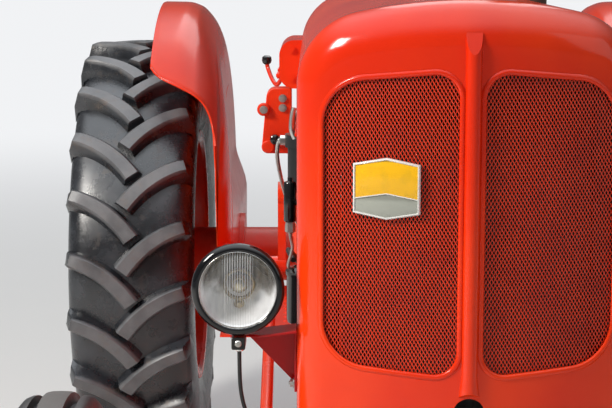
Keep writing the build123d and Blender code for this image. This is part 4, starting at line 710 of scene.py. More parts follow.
def on_badge(u, v, w):
    return badge_origin + badge_right * u + Vector((0, 0, v)) + badge_out * w


def badge_rings(outer, inner, levels):
    """Rings between two outlines of equal count, through (share towards the inner one, height) levels."""
    pairs = list(zip(outer, inner))
    return [
        [on_badge(u + (p - u) * share, v + (q - v) * share, level) for (u, v), (p, q) in pairs]
        for share, level in levels
    ]


def peaked(half, foot, foot_peak, top, top_peak):
    """Six-cornered outline whose foot and top have a peak in the middle."""
    return [(-half, foot), (0, foot_peak), (half, foot), (half, top), (0, top_peak), (-half, top)]


chrome = metal("chrome", (0.92, 0.92, 0.91), (0.55, 0.52, 0.48), 0.16, depth=0.00001, stained=0.2)
# The plated rim and divider are drawn in pale grey gloss paint: its light colour is a painted reflection
# standing in for the shine of the plating.
plating_sheen_colours = (0.86, 0.86, 0.85), (0.72, 0.72, 0.70)
silvered = enamel("silvered", 0.12, 0.00002, 300, *plating_sheen_colours, dust=0.02, coat=0.6)
shield = peaked(0.055, -0.040, -0.050, 0.040, 0.050)
inner_shield = peaked(0.0510, -0.0366, -0.0459, 0.0366, 0.0459)
levels = [(0, 0.0), (0, 0.0058), (0.45, 0.0079), (0.65, 0.0079), (1, 0.0058), (1, 0.003)]
rings = badge_rings(shield, inner_shield, levels)
set_out("badge_rim", skinned(rings, ends=(0,)), silvered, crease=50, instead="badge")
divider = ((-0.0016, 0.0050), (-0.0004, 0.0078), (0.0004, 0.0078), (0.0016, 0.0050))
rings = []
for u, v in ((-0.0524, -0.0163), (0.0, -0.0076), (0.0524, -0.0163)):
    rings.append([on_badge(u, v + rise, level) for rise, level in divider])
set_out("badge_divider", skinned(rings, wrap=False), silvered)


def glass_enamel(name, colour, shade, lower, upper):
    """Fired enamel in a recess: glossy, a little uneven, and darker in a band along its top edge, which is
    painted shade under the rim.
    """
    made, place = finish_named(name)
    cloud = mottle(place, 45, 4)
    # Towards the field's top edge the colour turns to the darker one: painted shade under the rim, mixed with
    # some uneven tone.
    band = axes(place)[2].ramp(lower, upper) * 0.75 + cloud.ramp(0.45, 0.8) * 0.25
    sockets = {
        "Base Color": blend(band, colour, shade),
        "Roughness": cloud * 0.08 + 0.12,
        "Specular IOR Level": 0.4,
        "Normal": bump(cloud, 0.00012),
    }
    close(place, sockets)
    return made


amber = glass_enamel("amber_enamel", (0.93, 0.50, 0.012), (0.42, 0.27, 0.03), 1.2355, 1.2395)
grey = glass_enamel("grey_enamel", (0.37, 0.385, 0.34), (0.21, 0.22, 0.19), 1.172, 1.1795)
upper_field = peaked(0.0522, -0.0163, -0.0076, 0.0377, 0.0472)
lower_field = peaked(0.0522, -0.0377, -0.0472, -0.0163, -0.0076)
for name, outline, finish in (("badge_upper", upper_field, amber), ("badge_lower", lower_field, grey)):
    middle = sum(v for u, v in outline) / 6
    drawn = [(u * 0.96, v + (middle - v) * 0.04) for u, v in outline]
    rings = badge_rings(outline, drawn, [(0, 0.002), (0, 0.0056), (1, 0.0063)])
    set_out(name, skinned(rings, ends=(-1,)), finish, crease=60)


# Bonnet, scuttle and dash.
# The bonnet is one folded sheet that lifts off, with a shadow gap to the cowl. The scuttle carries a
# side pod each side, the filler cap and the dash, where the dials and switches sit in a black panel.
panel_colours = (0.007, 0.007, 0.008), (0.012, 0.012, 0.013)
gloss_black = enamel("gloss_black", 0.08, 0.00003, 300, *panel_colours, dust=0.05, coat=0.5)
for side, hand in hands:
    lip = [(side * 0.2805, y, 1.2645) for y in (-1.335, -0.9, -0.36)]
    tube(f"bonnet_edge_{hand}", lip, 0.0035, sheet_red, 8)
    latch = [(0.2855, 1.300), (0.289, 1.285), (0.290, 1.262), (0.284, 1.246)]
    tube(f"bonnet_latch_{hand}", [(side * x, -1.22, z) for x, z in latch], 0.005, steel)
pod_bolts = [((x * 0.300, -0.3425, z), ahead) for x in both for z in (1.285, 1.35)]
pod_bolts += [((x * 0.3300, y, 1.29), (x, 0, 0)) for x in both for y in (-0.31, -0.14)]
bolts("pod_bolts", pod_bolts, 0.013, 0.006, sheet_red)
dash = rounded([(-0.17, 1.26), (0.17, 1.26), (0.17, 1.42), (-0.17, 1.42)], [0.03] * 4, 6)
rings = [[(x, y, z) for x, z in dash] for y in (-0.1375, -0.1315)]
rings.append([(x * 0.985, -0.1295, 1.34 + (z - 1.34) * 0.97) for x, z in dash])
set_out("dash_panel", skinned(rings, ends=(-1,)), gloss_black)
dial_places, dial_z, dial_half = (-0.09, 0.0, 0.09), 1.345, 0.036
dial, place = finish_named("dial_face")
x, y, z = axes(place)
marks = 0.0
for dial_x in dial_places:
    dx, dz = x - dial_x, z - dial_z
    out = (dx**2 + dz**2).sum("SQRT")
    tick = (dx.sum("ARCTAN2", dz) * 10).sum("COSINE").ramp(0.9, 0.95)
    band = (out > dial_half * 0.7) * (out < dial_half * 0.9)
    needle = (abs(dx + dz * 0.5) < 0.0011) * (dz > -0.004) * (out < dial_half * 0.72)
    marks = tick * band + needle + (out < 0.004) + marks
sockets = {
    "Base Color": blend(marks.sum("MINIMUM", 1.0), (0.012, 0.012, 0.012), (0.75, 0.73, 0.68)),
    "Roughness": mottle(place, 60) * 0.1 + 0.15,
    "Coat Weight": 0.5,
}
close(place, sockets)
for i, dial_x in enumerate(dial_places):
    turned(f"dial_{i + 1}", [(0, 0), (0, 0.0345)], (dial_x, -0.1285, dial_z), astern, dial, 48)
    ring = [(-0.001, 0.034), (0.003, 0.0345), (0.005, 0.0365), (0.004, 0.0385), (-0.001, 0.0392)]
    turned(f"dial_ring_{i + 1}", ring, (dial_x, -0.1295, dial_z), astern, chrome, 48)
switch = [(0, 0.011), (0.004, 0.011), (0.006, 0.005), (0.018, 0.004)]
switch += [(0.02, 0.009), (0.028, 0.009), (0.03, 0)]
for i, switch_x in enumerate((-0.12, -0.06, 0.06, 0.12)):
    turned(f"dash_switch_{i + 1}", switch, (switch_x, -0.1315, 1.284), astern, gloss_black, 24)
ring = [(0, 0.0385), (0.003, 0.041), (0.009, 0.041), (0.012, 0.0385)]
for i in range(2):
    turned(f"filler_ring_{i + 1}", ring, (0, -0.225, 1.494 + 0.012 * i), up, chrome, 48)


# Fenders.
# Each is pressed from one sheet: a flat crown with a rolled outer lip, a wide shoulder that falls to
# the flat inner plate, and a front corner cut away in a sweep. It bolts to the axle's flange.
fender_red = enamel("fender_red", 0.13, 0.00006, 420, dust=0.03, coat=0.08)
crown = [(0.700, 0.770), (0.660, 0.7695), (0.620, 0.768), (0.590, 0.761), (0.562, 0.748)]
crown += [(0.522, 0.708), (0.494, 0.650), (0.478, 0.570), (0.4745, 0.500)]
crown = [(0.700, 0.752), (0.700, 0.764), (0.6985, 0.7685)] + eased(crown)[1:]
corner_sweep = [(0.510, 0.606), (0.514, 1.000), (0.522, 1.090), (0.540, 1.148), (0.570, 1.184)]
corner_sweep += [(0.618, 1.210), (0.669, 1.233), (0.696, 1.258), (0.704, 1.275)]
corner_line = eased(corner_sweep, 6)


def corner_height(x):
    """Height of the swept front corner at a distance from the middle."""
    for (x1, z1), (x2, z2) in zip(corner_line, corner_line[1:]):
        if x1 <= x <= x2:
            return z1 + (z2 - z1) * (x - x1) / (x2 - x1)
    return 0.606 if x < 0.51 else 1.275


def within(value, low, high):
    """0 at low, 1 at high, and no further."""
    return max(0.0, min(1.0, (value - low) / (high - low)))


def toed(x, y, z, share=1.0):
    """A place on the sheet: its inner side stands further out above the axle and behind the front edge."""
    rise, back = within(z, 0.80, 0.94), within(y, 0.33, 0.73)
    return x + 0.034 * share * rise * rise * (3 - 2 * rise) * back * back * (3 - 2 * back), y, z


plate_trim = [(-0.7, 0.606), (-0.25, 0.606), (-0.16, 0.495), (0.16, 0.495), (0.43, 0.640), (0.467, 0.760)]
plate_trim += [(0.467, 1.3), (-0.7, 1.3)]


def plate_reach(turn):
    """How far the inner plate goes out from the axle in a direction."""
    way = Vector((math.cos(turn), math.sin(turn)))
    best = 0.519
    for (y1, z1), (y2, z2) in zip(plate_trim, plate_trim[1:] + plate_trim[:1]):
        start, run = Vector((y1, z1 - hub_z)), Vector((y2 - y1, z2 - z1))
        across = way.x * run.y - way.y * run.x
        if abs(across) > 1e-9:
            out = (start.x * run.y - start.y * run.x) / across
            along = (start.x * way.y - start.y * way.x) / across
            if out > 0 and 0 <= along <= 1:
                best = min(best, out)
    return best


def walled(made, thickness, rank):
    """Makes the face of lowest rank look up, and gives the skin a wall on its other side."""
    form = bmesh.new()
    form.from_mesh(made.data)
    if min(form.faces, key=rank).normal.z < 0:
        bmesh.ops.reverse_faces(form, faces=form.faces)
    form.to_mesh(made.data)
    form.free()
    wall = made.modifiers.new("wall", "SOLIDIFY")
    wall.thickness, wall.offset = thickness, -1


def handed(side, places):
    """Places on the left, moved to this side."""
    return [(side * x, y, z) for x, y, z in places]


plate_inner, plate_outer, plate_hole = 0.4742, 0.4772, 0.085
sweep_steps, plate_steps = 72, 12
for side, hand in hands:
    fender = f"fender_{hand}"
    rings = []
    for x, radius in crown:
        first = max(math.radians(12), math.asin(min(1, (corner_height(x) - hub_z) / radius)))
        turns = [first + (math.radians(148) - first) * k / sweep_steps for k in range(sweep_steps + 1)]
        ring = [round_axle(x, hub_y, hub_z, radius, math.pi - turn) for turn in turns]
        rings.append(handed(side, [toed(*place, within(x, 0.620, 0.4745)) for place in ring]))
    made = set_out(f"fender_crown_{hand}", skinned(rings, wrap=False), fender_red, crease=50, instead=fender)
    walled(made, 0.003, lambda face: -face.calc_center_median().z)
    rings = []
    for turn in angles(120):
        width = plate_reach(turn) - plate_hole
        steps = [plate_hole + width * k / plate_steps for k in range(plate_steps + 1)]
        outline = [(plate_inner, radius) for radius in steps]
        outline += [(plate_outer, radius) for radius in steps[::-1]]
        ring = [toed(*round_axle(x, hub_y, hub_z, radius, turn)) for x, radius in outline]
        rings.append(handed(side, ring))
    set_out(f"fender_plate_{hand}", skinned(rings, loop=True), fender_red, instead=fender)
    # A rolled bead runs along the cut edge and the outer lip.
    edge_line = []
    for x, z in corner_line[8:-1:2]:
        if z > 0.85 and x <= 0.699:
            runs = [(a, b) for a, b in zip(crown[2:], crown[3:]) if b[0] <= x <= a[0]]
            (x1, r1), (x2, r2) = runs[0]
            radius = r1 + (r2 - r1) * (x - x1) / (x2 - x1)
            edge_line.append((side * x, hub_y - math.sqrt(radius**2 - (z - hub_z) ** 2), z + 0.001))
    tube(f"fender_edge_{hand}", edge_line, 0.0032, fender_red, 8, share=2)
    lip_turns = [math.radians(180 - 55.5 - 92 * k / 24) for k in range(25)]
    lip_line = [round_axle(side * 0.6985, hub_y, hub_z, 0.752, turn) for turn in lip_turns]
    tube(f"fender_lip_{hand}", lip_line, 0.0034, fender_red, 8, share=2)
    spots = [round_axle(side * plate_outer, hub_y, hub_z, 0.106, turn) for turn in angles(8, 22.5)]
    bolts(f"fender_bolts_{hand}", [(spot, (side, 0, 0)) for spot in spots], 0.019, 0.011)
stud_tree, given = tree_named("tread_studs", {"Places": "Geometry", "Width": "Float", "Finish": "Material"})
width = given["Width"]
sockets = {"Vertices": 10, "Radius Top": width * 0.35, "Radius Bottom": width * 0.5, "Depth": width * 0.16}
stud = node(stud_tree, "GeometryNodeMeshCone", sockets, out="Mesh")
studs = node(stud_tree, "GeometryNodeInstanceOnPoints", {"Points": given["Places"], "Instance": stud})
close_tree(stud_tree, studs, given["Finish"])
spots = [(x * (0.19 + 0.045 * i), 0.06 + 0.05 * j, 0.606) for x in both for i in range(6) for j in range(11)]
studs = grown(stud_tree, {"Width": 0.016, "Finish": sheet_red}, mesh_of("tread_places", spots, []))
set_out("footplate_studs", studs, sheet_red)


# Rear wheels.
# A bias-ply tyre whose chevron lugs are moulded on the carcass, curved back and scooped, on a
# drop-centre rim. The dished disc bolts to eight lugs in the rim and to the axle flange.
tyre_black, place = finish_named("tyre_black", (0, -hub_y, -hub_z))
x, y, z = axes(place)
radial = (y**2 + z**2).sum("SQRT")
cloud = mottle(place, 11, 6, 0.62)
top = radial.ramp(0.638, 0.652)
dry = cloud.ramp(0.30, 0.75)
soil = mottle(place, 26, 8, 0.68).ramp(0.52, 0.72)
carcass = blend(dry, (0.010, 0.011, 0.014), (0.034, 0.038, 0.046))
tint = blend(top * (dry * 0.5 + 0.4), carcass, (0.150, 0.152, 0.160))
sockets = {
    "Base Color": blend(soil * radial.ramp(0.60, 0.63) * 0.35, tint, (0.16, 0.105, 0.065)),
    "Roughness": dry * 0.14 + top * 0.16 + soil * 0.12 + 0.20,
    "Specular IOR Level": 0.75,
    "Normal": bump(mottle(place, 420, 4) * 0.5 + cloud * 0.5, 0.0009),
}
close(place, sockets)


def mirrored(half, *middle):
    """A line from one side of a wheel to the other, from its half and what is in the middle."""
    return [*half, *middle, *((-x, radius) for x, radius in reversed(half))]


lug_count = 23
lug_pitch = math.radians(360 / lug_count)
casing = [(0.1518, 0.3565), (0.1525, 0.382), (0.158, 0.398), (0.1665, 0.430), (0.1715, 0.470)]
casing += [(0.1722, 0.510), (0.1690, 0.548), (0.1590, 0.580), (0.1380, 0.601)]
casing += [(0.1050, 0.611), (0.0550, 0.616)]
half_casing = eased(casing, 3)
whole = mirrored(half_casing, (0.0, 0.617)) + [(-0.1495, 0.3568), (0.1495, 0.3568)]


def casing_radius(x):
    for (x1, r1), (x2, r2) in zip(half_casing[18:], half_casing[19:]):
        if x2 <= abs(x) <= x1:
            return r1 + (r2 - r1) * (x1 - abs(x)) / (x1 - x2)
    return 0.616 if abs(x) < 0.1 else 0.55


def lug(way, back=0.0):
    """One lug at the top of the wheel, on the hub's own centre: a curved bar with flared flanks."""
    bends = tuple(zip((-0.012, -0.068), (0.060, 0.032), (0.1690, 0.058)))
    last = 14
    rings = []
    for k in range(last + 1):
        t = k / last
        middle, place = ((1 - t) ** 2 * a + 2 * t * (1 - t) * b + t**2 * c for a, b, c in bends)
        run = Vector([2 * (1 - t) * (b - a) + 2 * t * (c - b) for a, b, c in bends]).normalized()
        half = 0.0215 - 0.003 * t
        high = 0.6534 - 0.0040 * max(0, (t - 0.5) / 0.5) ** 2
        high = {last - 1: 0.6455, last: 0.602}.get(k, high)
        low = casing_radius(middle) - 0.006
        flank = [(half + 0.012, low), (half + 0.0065, low + (high - low) * 0.30)]
        flank += [(half + 0.0010, high - 0.0055), (half - 0.0045, high)]
        ring = []
        for off, radius in [(-off, radius) for off, radius in flank] + flank[::-1]:
            x = min(middle - run.y * off, 0.1715 if radius < 0.6 else 0.1690)
            turn = (place + run.x * off) / 0.655 - back
            ring.append((x * way, radius * math.sin(turn), radius * math.cos(turn)))
        rings.append(ring)
    return skinned(rings, wrap=False, ends=(0, -1))


# The inner row sits half a pitch further round.
pair_mesh = mesh_of("lug_pair", *together(lug(1), lug(-1, lug_pitch / 2)))
form = bmesh.new()
form.from_mesh(pair_mesh)
bmesh.ops.recalc_face_normals(form, faces=form.faces)
form.to_mesh(pair_mesh)
form.free()
lug_pair = added("lug_pair", pair_mesh)

lug_sockets = {"Casing": "Geometry", "Lugs": "Object", "Count": "Int", "Pitch": "Float", "First": "Float"}
lug_sockets.update({"Hub": "Vector", "Side": "Vector", "Finish": "Material"})
lug_tree, given = tree_named("lugs_round_tyre", lug_sockets)
middle = node(lug_tree, "GeometryNodeMeshLine", {"Count": given["Count"], "Offset": (0, 0, 0)})
turn = node(lug_tree, "GeometryNodeInputIndex") * given["Pitch"] + given["First"]
rotation = node(lug_tree, "ShaderNodeCombineXYZ", {0: turn})
source = node(lug_tree, "GeometryNodeObjectInfo", {"Object": given["Lugs"]}, out="Geometry")
sockets = {"Points": middle, "Instance": source, "Rotation": rotation}
placed = node(lug_tree, "GeometryNodeInstanceOnPoints", sockets)
joined = node(lug_tree, "GeometryNodeJoinGeometry", {"Geometry": [placed, given["Casing"]]})
sockets = {"Geometry": joined, "Translation": given["Hub"], "Scale": given["Side"]}
close_tree(lug_tree, node(lug_tree, "GeometryNodeTransform", sockets), given["Finish"])

wheel_red = enamel("wheel_red", 0.2, 0.0001, 300, dust=0.12, coat=0.12, dirt=0.12)
rim_half = [(0.152, 0.381), (0.1515, 0.362), (0.146, 0.356), (0.078, 0.355), (0.070, 0.350)]
rim_half += [(0.062, 0.334), (0.054, 0.330)]
disc_path = [(-0.050, 0.062), (-0.050, 0.146), (-0.046, 0.160), (0.018, 0.206), (0.026, 0.219)]
disc_path += [(0.028, 0.232), (0.028, 0.312)]
rear_parts = (
    ("rear_rim", folded(mirrored(rim_half), 0.007)),
    ("rear_disc", folded(eased(disc_path, 3), 0.009)),
)
valve = ((0.735, 0.12, 0.296), (0.752, 0.118, 0.291), (0.775, 0.112, 0.277))
for side, hand in hands:
    hub, wheel, outward = (side * 0.755, hub_y, hub_z), f"rear_wheel_{hand}", Vector((side, 0, 0))
    sizes = {
        "Lugs": lug_pair,
        "Count": lug_count,
        "Pitch": lug_pitch,
        "First": math.radians(39),
        "Hub": hub,
        "Side": (float(side), 1.0, 1.0),
        "Finish": tyre_black,
    }
    mesh = grown(lug_tree, sizes, mesh_of("casing", *spun(whole, (0, 0, 0), axle, 92)))
    set_out(f"rear_tyre_{hand}", mesh, tyre_black, wheel, 42, instead=f"rear_tyre_{hand}")
    for name, outline in rear_parts:
        outline = [(x * side, radius) for x, radius in outline]
        name = f"{name}_{hand}"
        turned(name, outline, hub, axle, wheel_red, 92, body=wheel, crease=40, instead=name)
    disc_bolts, nuts, rim_lugs = [], [], []
    for turn in angles(8):
        out = Vector((0, math.sin(turn), math.cos(turn)))
        sideways = Vector((0, math.cos(turn), -math.sin(turn)))
        nuts.append((Vector(hub) - outward * 0.050 + out * 0.098, outward))
        disc_bolts.append((Vector(hub) + outward * 0.0405 + out * 0.301, outward))
        # The rim's own lug: a forged plate, wide where it is welded to the well.
        rings = []
        for reach, wide in ((0.284, 0.022), (0.298, 0.030), (0.3215, 0.036), (0.3255, 0.036)):
            corners = ((0.0285, -wide), (0.0285, wide), (0.0400, wide), (0.0400, -wide))
            foot = Vector(hub) + out * reach
            rings.append([foot + outward * depth + sideways * off for depth, off in corners])
        rim_lugs.append(skinned(rings, ends=(0, -1)))
    set_out(f"rim_lugs_{hand}", together(*rim_lugs), wheel_red, wheel, bevel=0.002)
    bolts(f"disc_bolts_{hand}", disc_bolts, 0.026, 0.013, steel, wheel)
    bolts(f"rear_nuts_{hand}", nuts, 0.028, 0.017, steel, wheel)
    stem = [(side * x, hub_y + y, hub_z + z) for x, y, z in valve]
    tube(f"valve_{hand}", stem, 0.0045, hose_rubber, 8, wheel)
bpy.data.objects.remove(lug_pair)
dress(wheel_red, "axle_shaft_left", "axle_shaft_right")


# Front wheels.
# Three-rib tyres on pressed wheels with drop-centre rims. Hub, disc and rim are one colour, and the
# hub's cap keeps the bearing's grease in.
front_y, front_z = -1.1525, 0.38
front_black, place = finish_named("front_black", (0, -front_y, -front_z))
x, y, z = axes(place)
cloud = mottle(place, 14, 6, 0.62).ramp(0.3, 0.75)
top = (y**2 + z**2).sum("SQRT").ramp(0.366, 0.376)
tint = blend(cloud, (0.016, 0.016, 0.018), (0.05, 0.05, 0.052))
sockets = {
    "Base Color": blend(top * 0.7, tint, (0.16, 0.155, 0.15)),
    "Roughness": cloud * 0.2 + top * 0.15 + 0.34,
    "Specular IOR Level": 0.5,
    "Normal": bump(mottle(place, 420, 4), 0.0005),
}
close(place, sockets)
front_side = [(0.0640, 0.2035), (0.0645, 0.222), (0.070, 0.236), (0.0825, 0.262), (0.0878, 0.295)]
front_side += [(0.0850, 0.325), (0.074, 0.348)]
ribs = [(0.0660, 0.3585), (0.0600, 0.3655), (0.0520, 0.3690), (0.0440, 0.3700), (0.0415, 0.3540)]
ribs += [(0.0275, 0.3545), (0.0235, 0.3757), (0.0150, 0.3775)]
front_whole = mirrored(eased(front_side) + ribs, (0.0, 0.3779)) + [(-0.0625, 0.2037), (0.0625, 0.2037)]
rim_half = [(0.064, 0.221), (0.0635, 0.208), (0.060, 0.203), (0.040, 0.2025), (0.035, 0.200)]
rim_half += [(0.030, 0.186), (0.024, 0.183)]
disc_path = [(-0.006, 0.044), (-0.006, 0.090), (-0.003, 0.099), (0.007, 0.106), (0.012, 0.116)]
disc_path += [(0.012, 0.150), (0.008, 0.168), (0.008, 0.179)]
hub_line = [(-0.0812, 0.022), (-0.0812, 0.046), (-0.0785, 0.048), (-0.016, 0.048), (-0.014, 0.082)]
hub_line += [(-0.006, 0.082), (-0.006, 0.046), (0.004, 0.0445), (0.036, 0.0440), (0.038, 0.040)]
hub_line += [(0.040, 0.034), (0.0445, 0.030), (0.0458, 0.016), (0.0460, 0.0)]
front_parts = (
    ("front_rim", folded(mirrored(rim_half), 0.0045)),
    ("front_disc", folded(eased(disc_path, 3), 0.005)),
    ("front_hub", hub_line),
)
for side, hand in hands:
    hub, wheel = (side * 0.730, front_y, front_z), f"front_wheel_{hand}"
    tyre = f"front_tyre_{hand}"
    turned(tyre, front_whole, hub, axle, front_black, 80, body=wheel, crease=40, instead=tyre)
    for name, outline in front_parts:
        outline = [(x * side, radius) for x, radius in outline]
        name, rim = f"{name}_{hand}", f"front_rim_{hand}"
        turned(name, outline, hub, axle, wheel_red, 72, body=wheel, crease=40, instead=rim)
    nuts = [(round_axle(side * 0.724, front_y, front_z, 0.066, turn), (side, 0, 0)) for turn in angles(6)]
    bolts(f"front_nuts_{hand}", nuts, 0.019, 0.012, steel, wheel)


# Front axle and steering.
# The fabricated axle beam rocks on a pin, and the knuckles turn in its ends. Ball joints with rubber
# boots join the track rod and the drag link, and the wheel's rim is moulded over steel spokes.
dress(cast_red, "axle_beam", "knuckle_left", "knuckle_right", "steering_box", "drop_arm")
link_red = enamel("link_red", 0.18, 0.00008, 300, dust=0.15, coat=0.3)
dress(link_red, "track_rod", "drag_link")
boot = [(-0.004, 0.0135), (-0.002, 0.0195), (0.003, 0.0215), (0.007, 0.019), (0.010, 0.0205)]
boot += [(0.014, 0.0155), (0.014, 0.0125)]
cap = [(0, 0.0335), (0.006, 0.0345), (0.011, 0.031), (0.013, 0.018)]
cap += [(0.0135, 0.006), (0.020, 0.0055), (0.021, 0)]
for side, hand in hands:
    turned(f"track_boot_{hand}", boot, (side * 0.6, -1.0225, 0.3265), up, hose_rubber, body="track_rod")
    turned(f"kingpin_cap_{hand}", cap, (side * 0.6, front_y, 0.6735), up, cast_red, body=f"knuckle_{hand}")

column = Vector((0, 0.6602, 0.7511))
wheel_centre = Vector((0, 0.4275, 1.4))
wheel_across = Vector((1, 0, 0))
wheel_up = column.cross(wheel_across)
grip_black, place = finish_named("grip_black")
cloud = mottle(place, 30, 5).ramp(0.4, 0.8)
sockets = {
    "Base Color": blend(cloud, (0.010, 0.010, 0.011), (0.035, 0.033, 0.031)),
    "Roughness": cloud * 0.2 + 0.26,
    "Specular IOR Level": 0.5,
    "Normal": bump(mottle(place, 500, 3), 0.00008),
}
close(place, sockets)
rings = []
for turn in angles(144):
    out = wheel_across * math.cos(turn) + wheel_up * math.sin(turn)
    # Finger bumps on the under side of the rim.
    swell = 1 + 0.05 * math.cos(48 * turn)
    ring = []
    for angle in angles(14):
        low = swell if math.sin(angle) < 0 else 1
        middle = wheel_centre + out * (0.215 + 0.0125 * math.cos(angle))
        ring.append(middle + column * 0.0105 * low * math.sin(angle))
    rings.append(ring)
rim = skinned(rings, loop=True)
set_out("steering_rim", rim, grip_black, "steering_wheel", 60, instead="steering_wheel")
for i, turn in enumerate(angles(3, 90)):
    out = wheel_across * math.cos(turn) + wheel_up * math.sin(turn)
    run = [(0.02, 0.012), (0.08, 0.010), (0.15, 0.004), (0.208, 0.0)]
    run = [wheel_centre + out * reach - column * drop for reach, drop in run]
    tube(f"spoke_{i + 1}", run, 0.0065, steel, 10, "steering_wheel")
wheel_hub = [(-0.265, 0.0), (-0.265, 0.0105), (-0.030, 0.0105), (-0.028, 0.030), (-0.018, 0.034)]
wheel_hub += [(0.004, 0.034), (0.012, 0.030), (0.018, 0.018), (0.0195, 0.0)]
turned("steering_hub", wheel_hub, wheel_centre, column, gloss_black, 40, body="steering_wheel")
box_bolts = [((x * 0.045, 0.0425 + y, 1.018), up) for x in both for y in (-0.058, 0.058)]
box_bolts += [((x * 0.105, front_y - 0.0663, 0.60), ahead) for x in both]
bolts("box_bolts", box_bolts, 0.015, 0.009)
clamp = [(-0.012, 0.0242), (-0.012, 0.0285), (0.012, 0.0285), (0.012, 0.0242)]
turned("column_clamp", clamp, wheel_centre - column * 0.30, column, cast_red, 40)


# Seat, levers and hitch.
# The pan seat is pressed from one sheet with a rolled edge, on a leaf spring. Gear levers stand in
# the top cover, and the drawbar and the power shaft are at the back.
seat_red = enamel("seat_red", 0.2, 0.00008, 400, dust=0.3, coat=0.25, dirt=0.1)
seat_y = 0.9875


def on_seat(radius, turn, z):
    """A place on a circle round the pan's middle, from the back."""
    return radius * math.sin(turn), seat_y + radius * math.cos(turn), z


def notch(turn):
    """How far the pan's edge drops: it has a notch at the front, between the thighs."""
    return 0.014 * max(0, -math.cos(turn)) ** 12


seat_line = [(0.0, 0.001), (0.001, 0.05), (0.004, 0.110), (0.013, 0.152), (0.030, 0.185)]
seat_line += [(0.049, 0.204), (0.066, 0.216), (0.0715, 0.2255)]
rings = []
for turn in angles(96):
    ring = []
    for rise, radius in eased(seat_line):
        share = (radius / 0.227) ** 2
        # Two shallow hollows for the thighs.
        hollow = 0.0024 * math.exp(-((abs(math.sin(turn)) - 0.6) ** 2) / 0.08) * (1 - share)
        dip = hollow if math.cos(turn) < 0.3 else 0
        ring.append(on_seat(radius, turn, 1.05 + rise - notch(turn) * share - dip))
    rings.append(ring)
pan = set_out("seat_pan", skinned(rings, wrap=False, loop=True), seat_red, crease=60, instead="seat")
walled(pan, 0.0035, lambda face: face.calc_center_median().xy.length)
edge_line = [on_seat(0.2225, turn, 1.1185 - notch(turn)) for turn in angles(48)]
tube("seat_edge", edge_line, 0.0042, seat_red, closed=True, share=3)
slot_tree, given = tree_named("drain_slots", {"Places": "Geometry", "Length": "Float", "Finish": "Material"})
sockets = {"Segments": 14, "Rings": 7, "Radius": 1.0}
slot_shape = node(slot_tree, "GeometryNodeMeshUVSphere", sockets, out="Mesh")
size = node(slot_tree, "ShaderNodeCombineXYZ", {0: given["Length"], 1: given["Length"] * 0.3, 2: 0.0009})
sockets = {"Points": given["Places"], "Instance": slot_shape, "Rotation": facing(slot_tree), "Scale": size}
close_tree(slot_tree, node(slot_tree, "GeometryNodeInstanceOnPoints", sockets), given["Finish"])
spots = []
for radius, count, z in ((0.050, 6, 1.0512), (0.095, 12, 1.0534)):
    spots += [(on_seat(radius, turn, z), (0, 0, math.pi / 2 - turn)) for turn in angles(count)]
drains = grown(slot_tree, {"Length": 0.010, "Finish": soot_black}, places_of("slot", spots))
set_out("seat_slots", drains, soot_black)
spots = [((x * 0.02, seat_y + y, 1.0515), up) for x in both for y in (-0.02, 0.02)]
bolts("seat_bolts", spots, 0.013, 0.006)

dress(steel, "controls")
knob = [(-0.002, 0.010), (0.0, 0.0203), (0.004, 0.0206), (0.030, 0.0206), (0.0355, 0.0195)]
knob += [(0.0366, 0.012), (0.0368, 0.0)]
gaiter = [(0.0, 0.031), (0.006, 0.031), (0.010, 0.026), (0.015, 0.0275), (0.019, 0.022)]
gaiter += [(0.024, 0.0235), (0.028, 0.018), (0.034, 0.012), (0.036, 0.0092)]
for i, (x, y, lean, height) in enumerate(((0, 0.4275, 0.060, 0.330), (0.060, 0.3375, -0.040, 0.260))):
    foot, lever = Vector((x, y, 0.930)), Vector((0, lean, height))
    turned(f"lever_knob_{i + 1}", knob, foot + lever, lever.normalized(), gloss_black)
    turned(f"lever_gaiter_{i + 1}", gaiter, foot, up, hose_rubber, 36, closed=False)
shaft_steel = metal("shaft_steel", (0.42, 0.41, 0.40), (0.16, 0.10, 0.07), 0.3)
rings = []
for y, less in ((1.100, 0), (1.168, 0), (1.1715, 0.002)):
    ring = []
    for k, turn in enumerate(angles(36)):
        radius = (0.0174 if k % 6 < 3 else 0.0150) - less
        ring.append((radius * math.cos(turn), y, 0.640 + radius * math.sin(turn)))
    rings.append(ring)
set_out("shaft_splines", skinned(rings, ends=(-1,)), shaft_steel, crease=30)
rear_bolts = [((x * 0.045, 1.0985, 0.64 + z), astern) for x in both for z in (-0.04, 0.04)]
rear_bolts += [((x * 0.055, 0.8175 + y, 0.470), down) for x in both for y in (-0.018, 0.148)]
bolts("rear_bolts", rear_bolts, 0.015, 0.008)


# Headlamps.
# Each is a deep red shell with a black rim clamped round a fluted glass, over a silvered reflector and
# a bulb in its holder. The stem goes down through the bracket to a clamp and the lead's gland.
lamp_x, lamp_y, lamp_z, stem_y = 0.377, -1.4075, 1.016, -1.3775
rim_colours = (0.004, 0.004, 0.005), (0.006, 0.006, 0.008)
lamp_black = enamel("lamp_black", 0.03, 0.00003, 300, *rim_colours, dust=0.01, coat=0.5)
shell_line = [(0.0, 0.0735), (-0.008, 0.0738), (-0.024, 0.0715), (-0.042, 0.0660), (-0.060, 0.0570)]
shell_line += [(-0.076, 0.0455), (-0.088, 0.0300), (-0.0945, 0.0150), (-0.0965, 0.0)]
rim_line = [(0.0, 0.0650), (-0.0005, 0.0755), (0.002, 0.0772), (0.006, 0.0775), (0.010, 0.0768)]
rim_line += [(0.0135, 0.0740), (0.0155, 0.0700), (0.0160, 0.0672), (0.0148, 0.0652), (0.0125, 0.0645)]
rim_line += [(0.006, 0.0643)]
bezel_line = [(0.0110, 0.0652), (0.0146, 0.0652), (0.0150, 0.0646), (0.0142, 0.0639), (0.0105, 0.0636)]
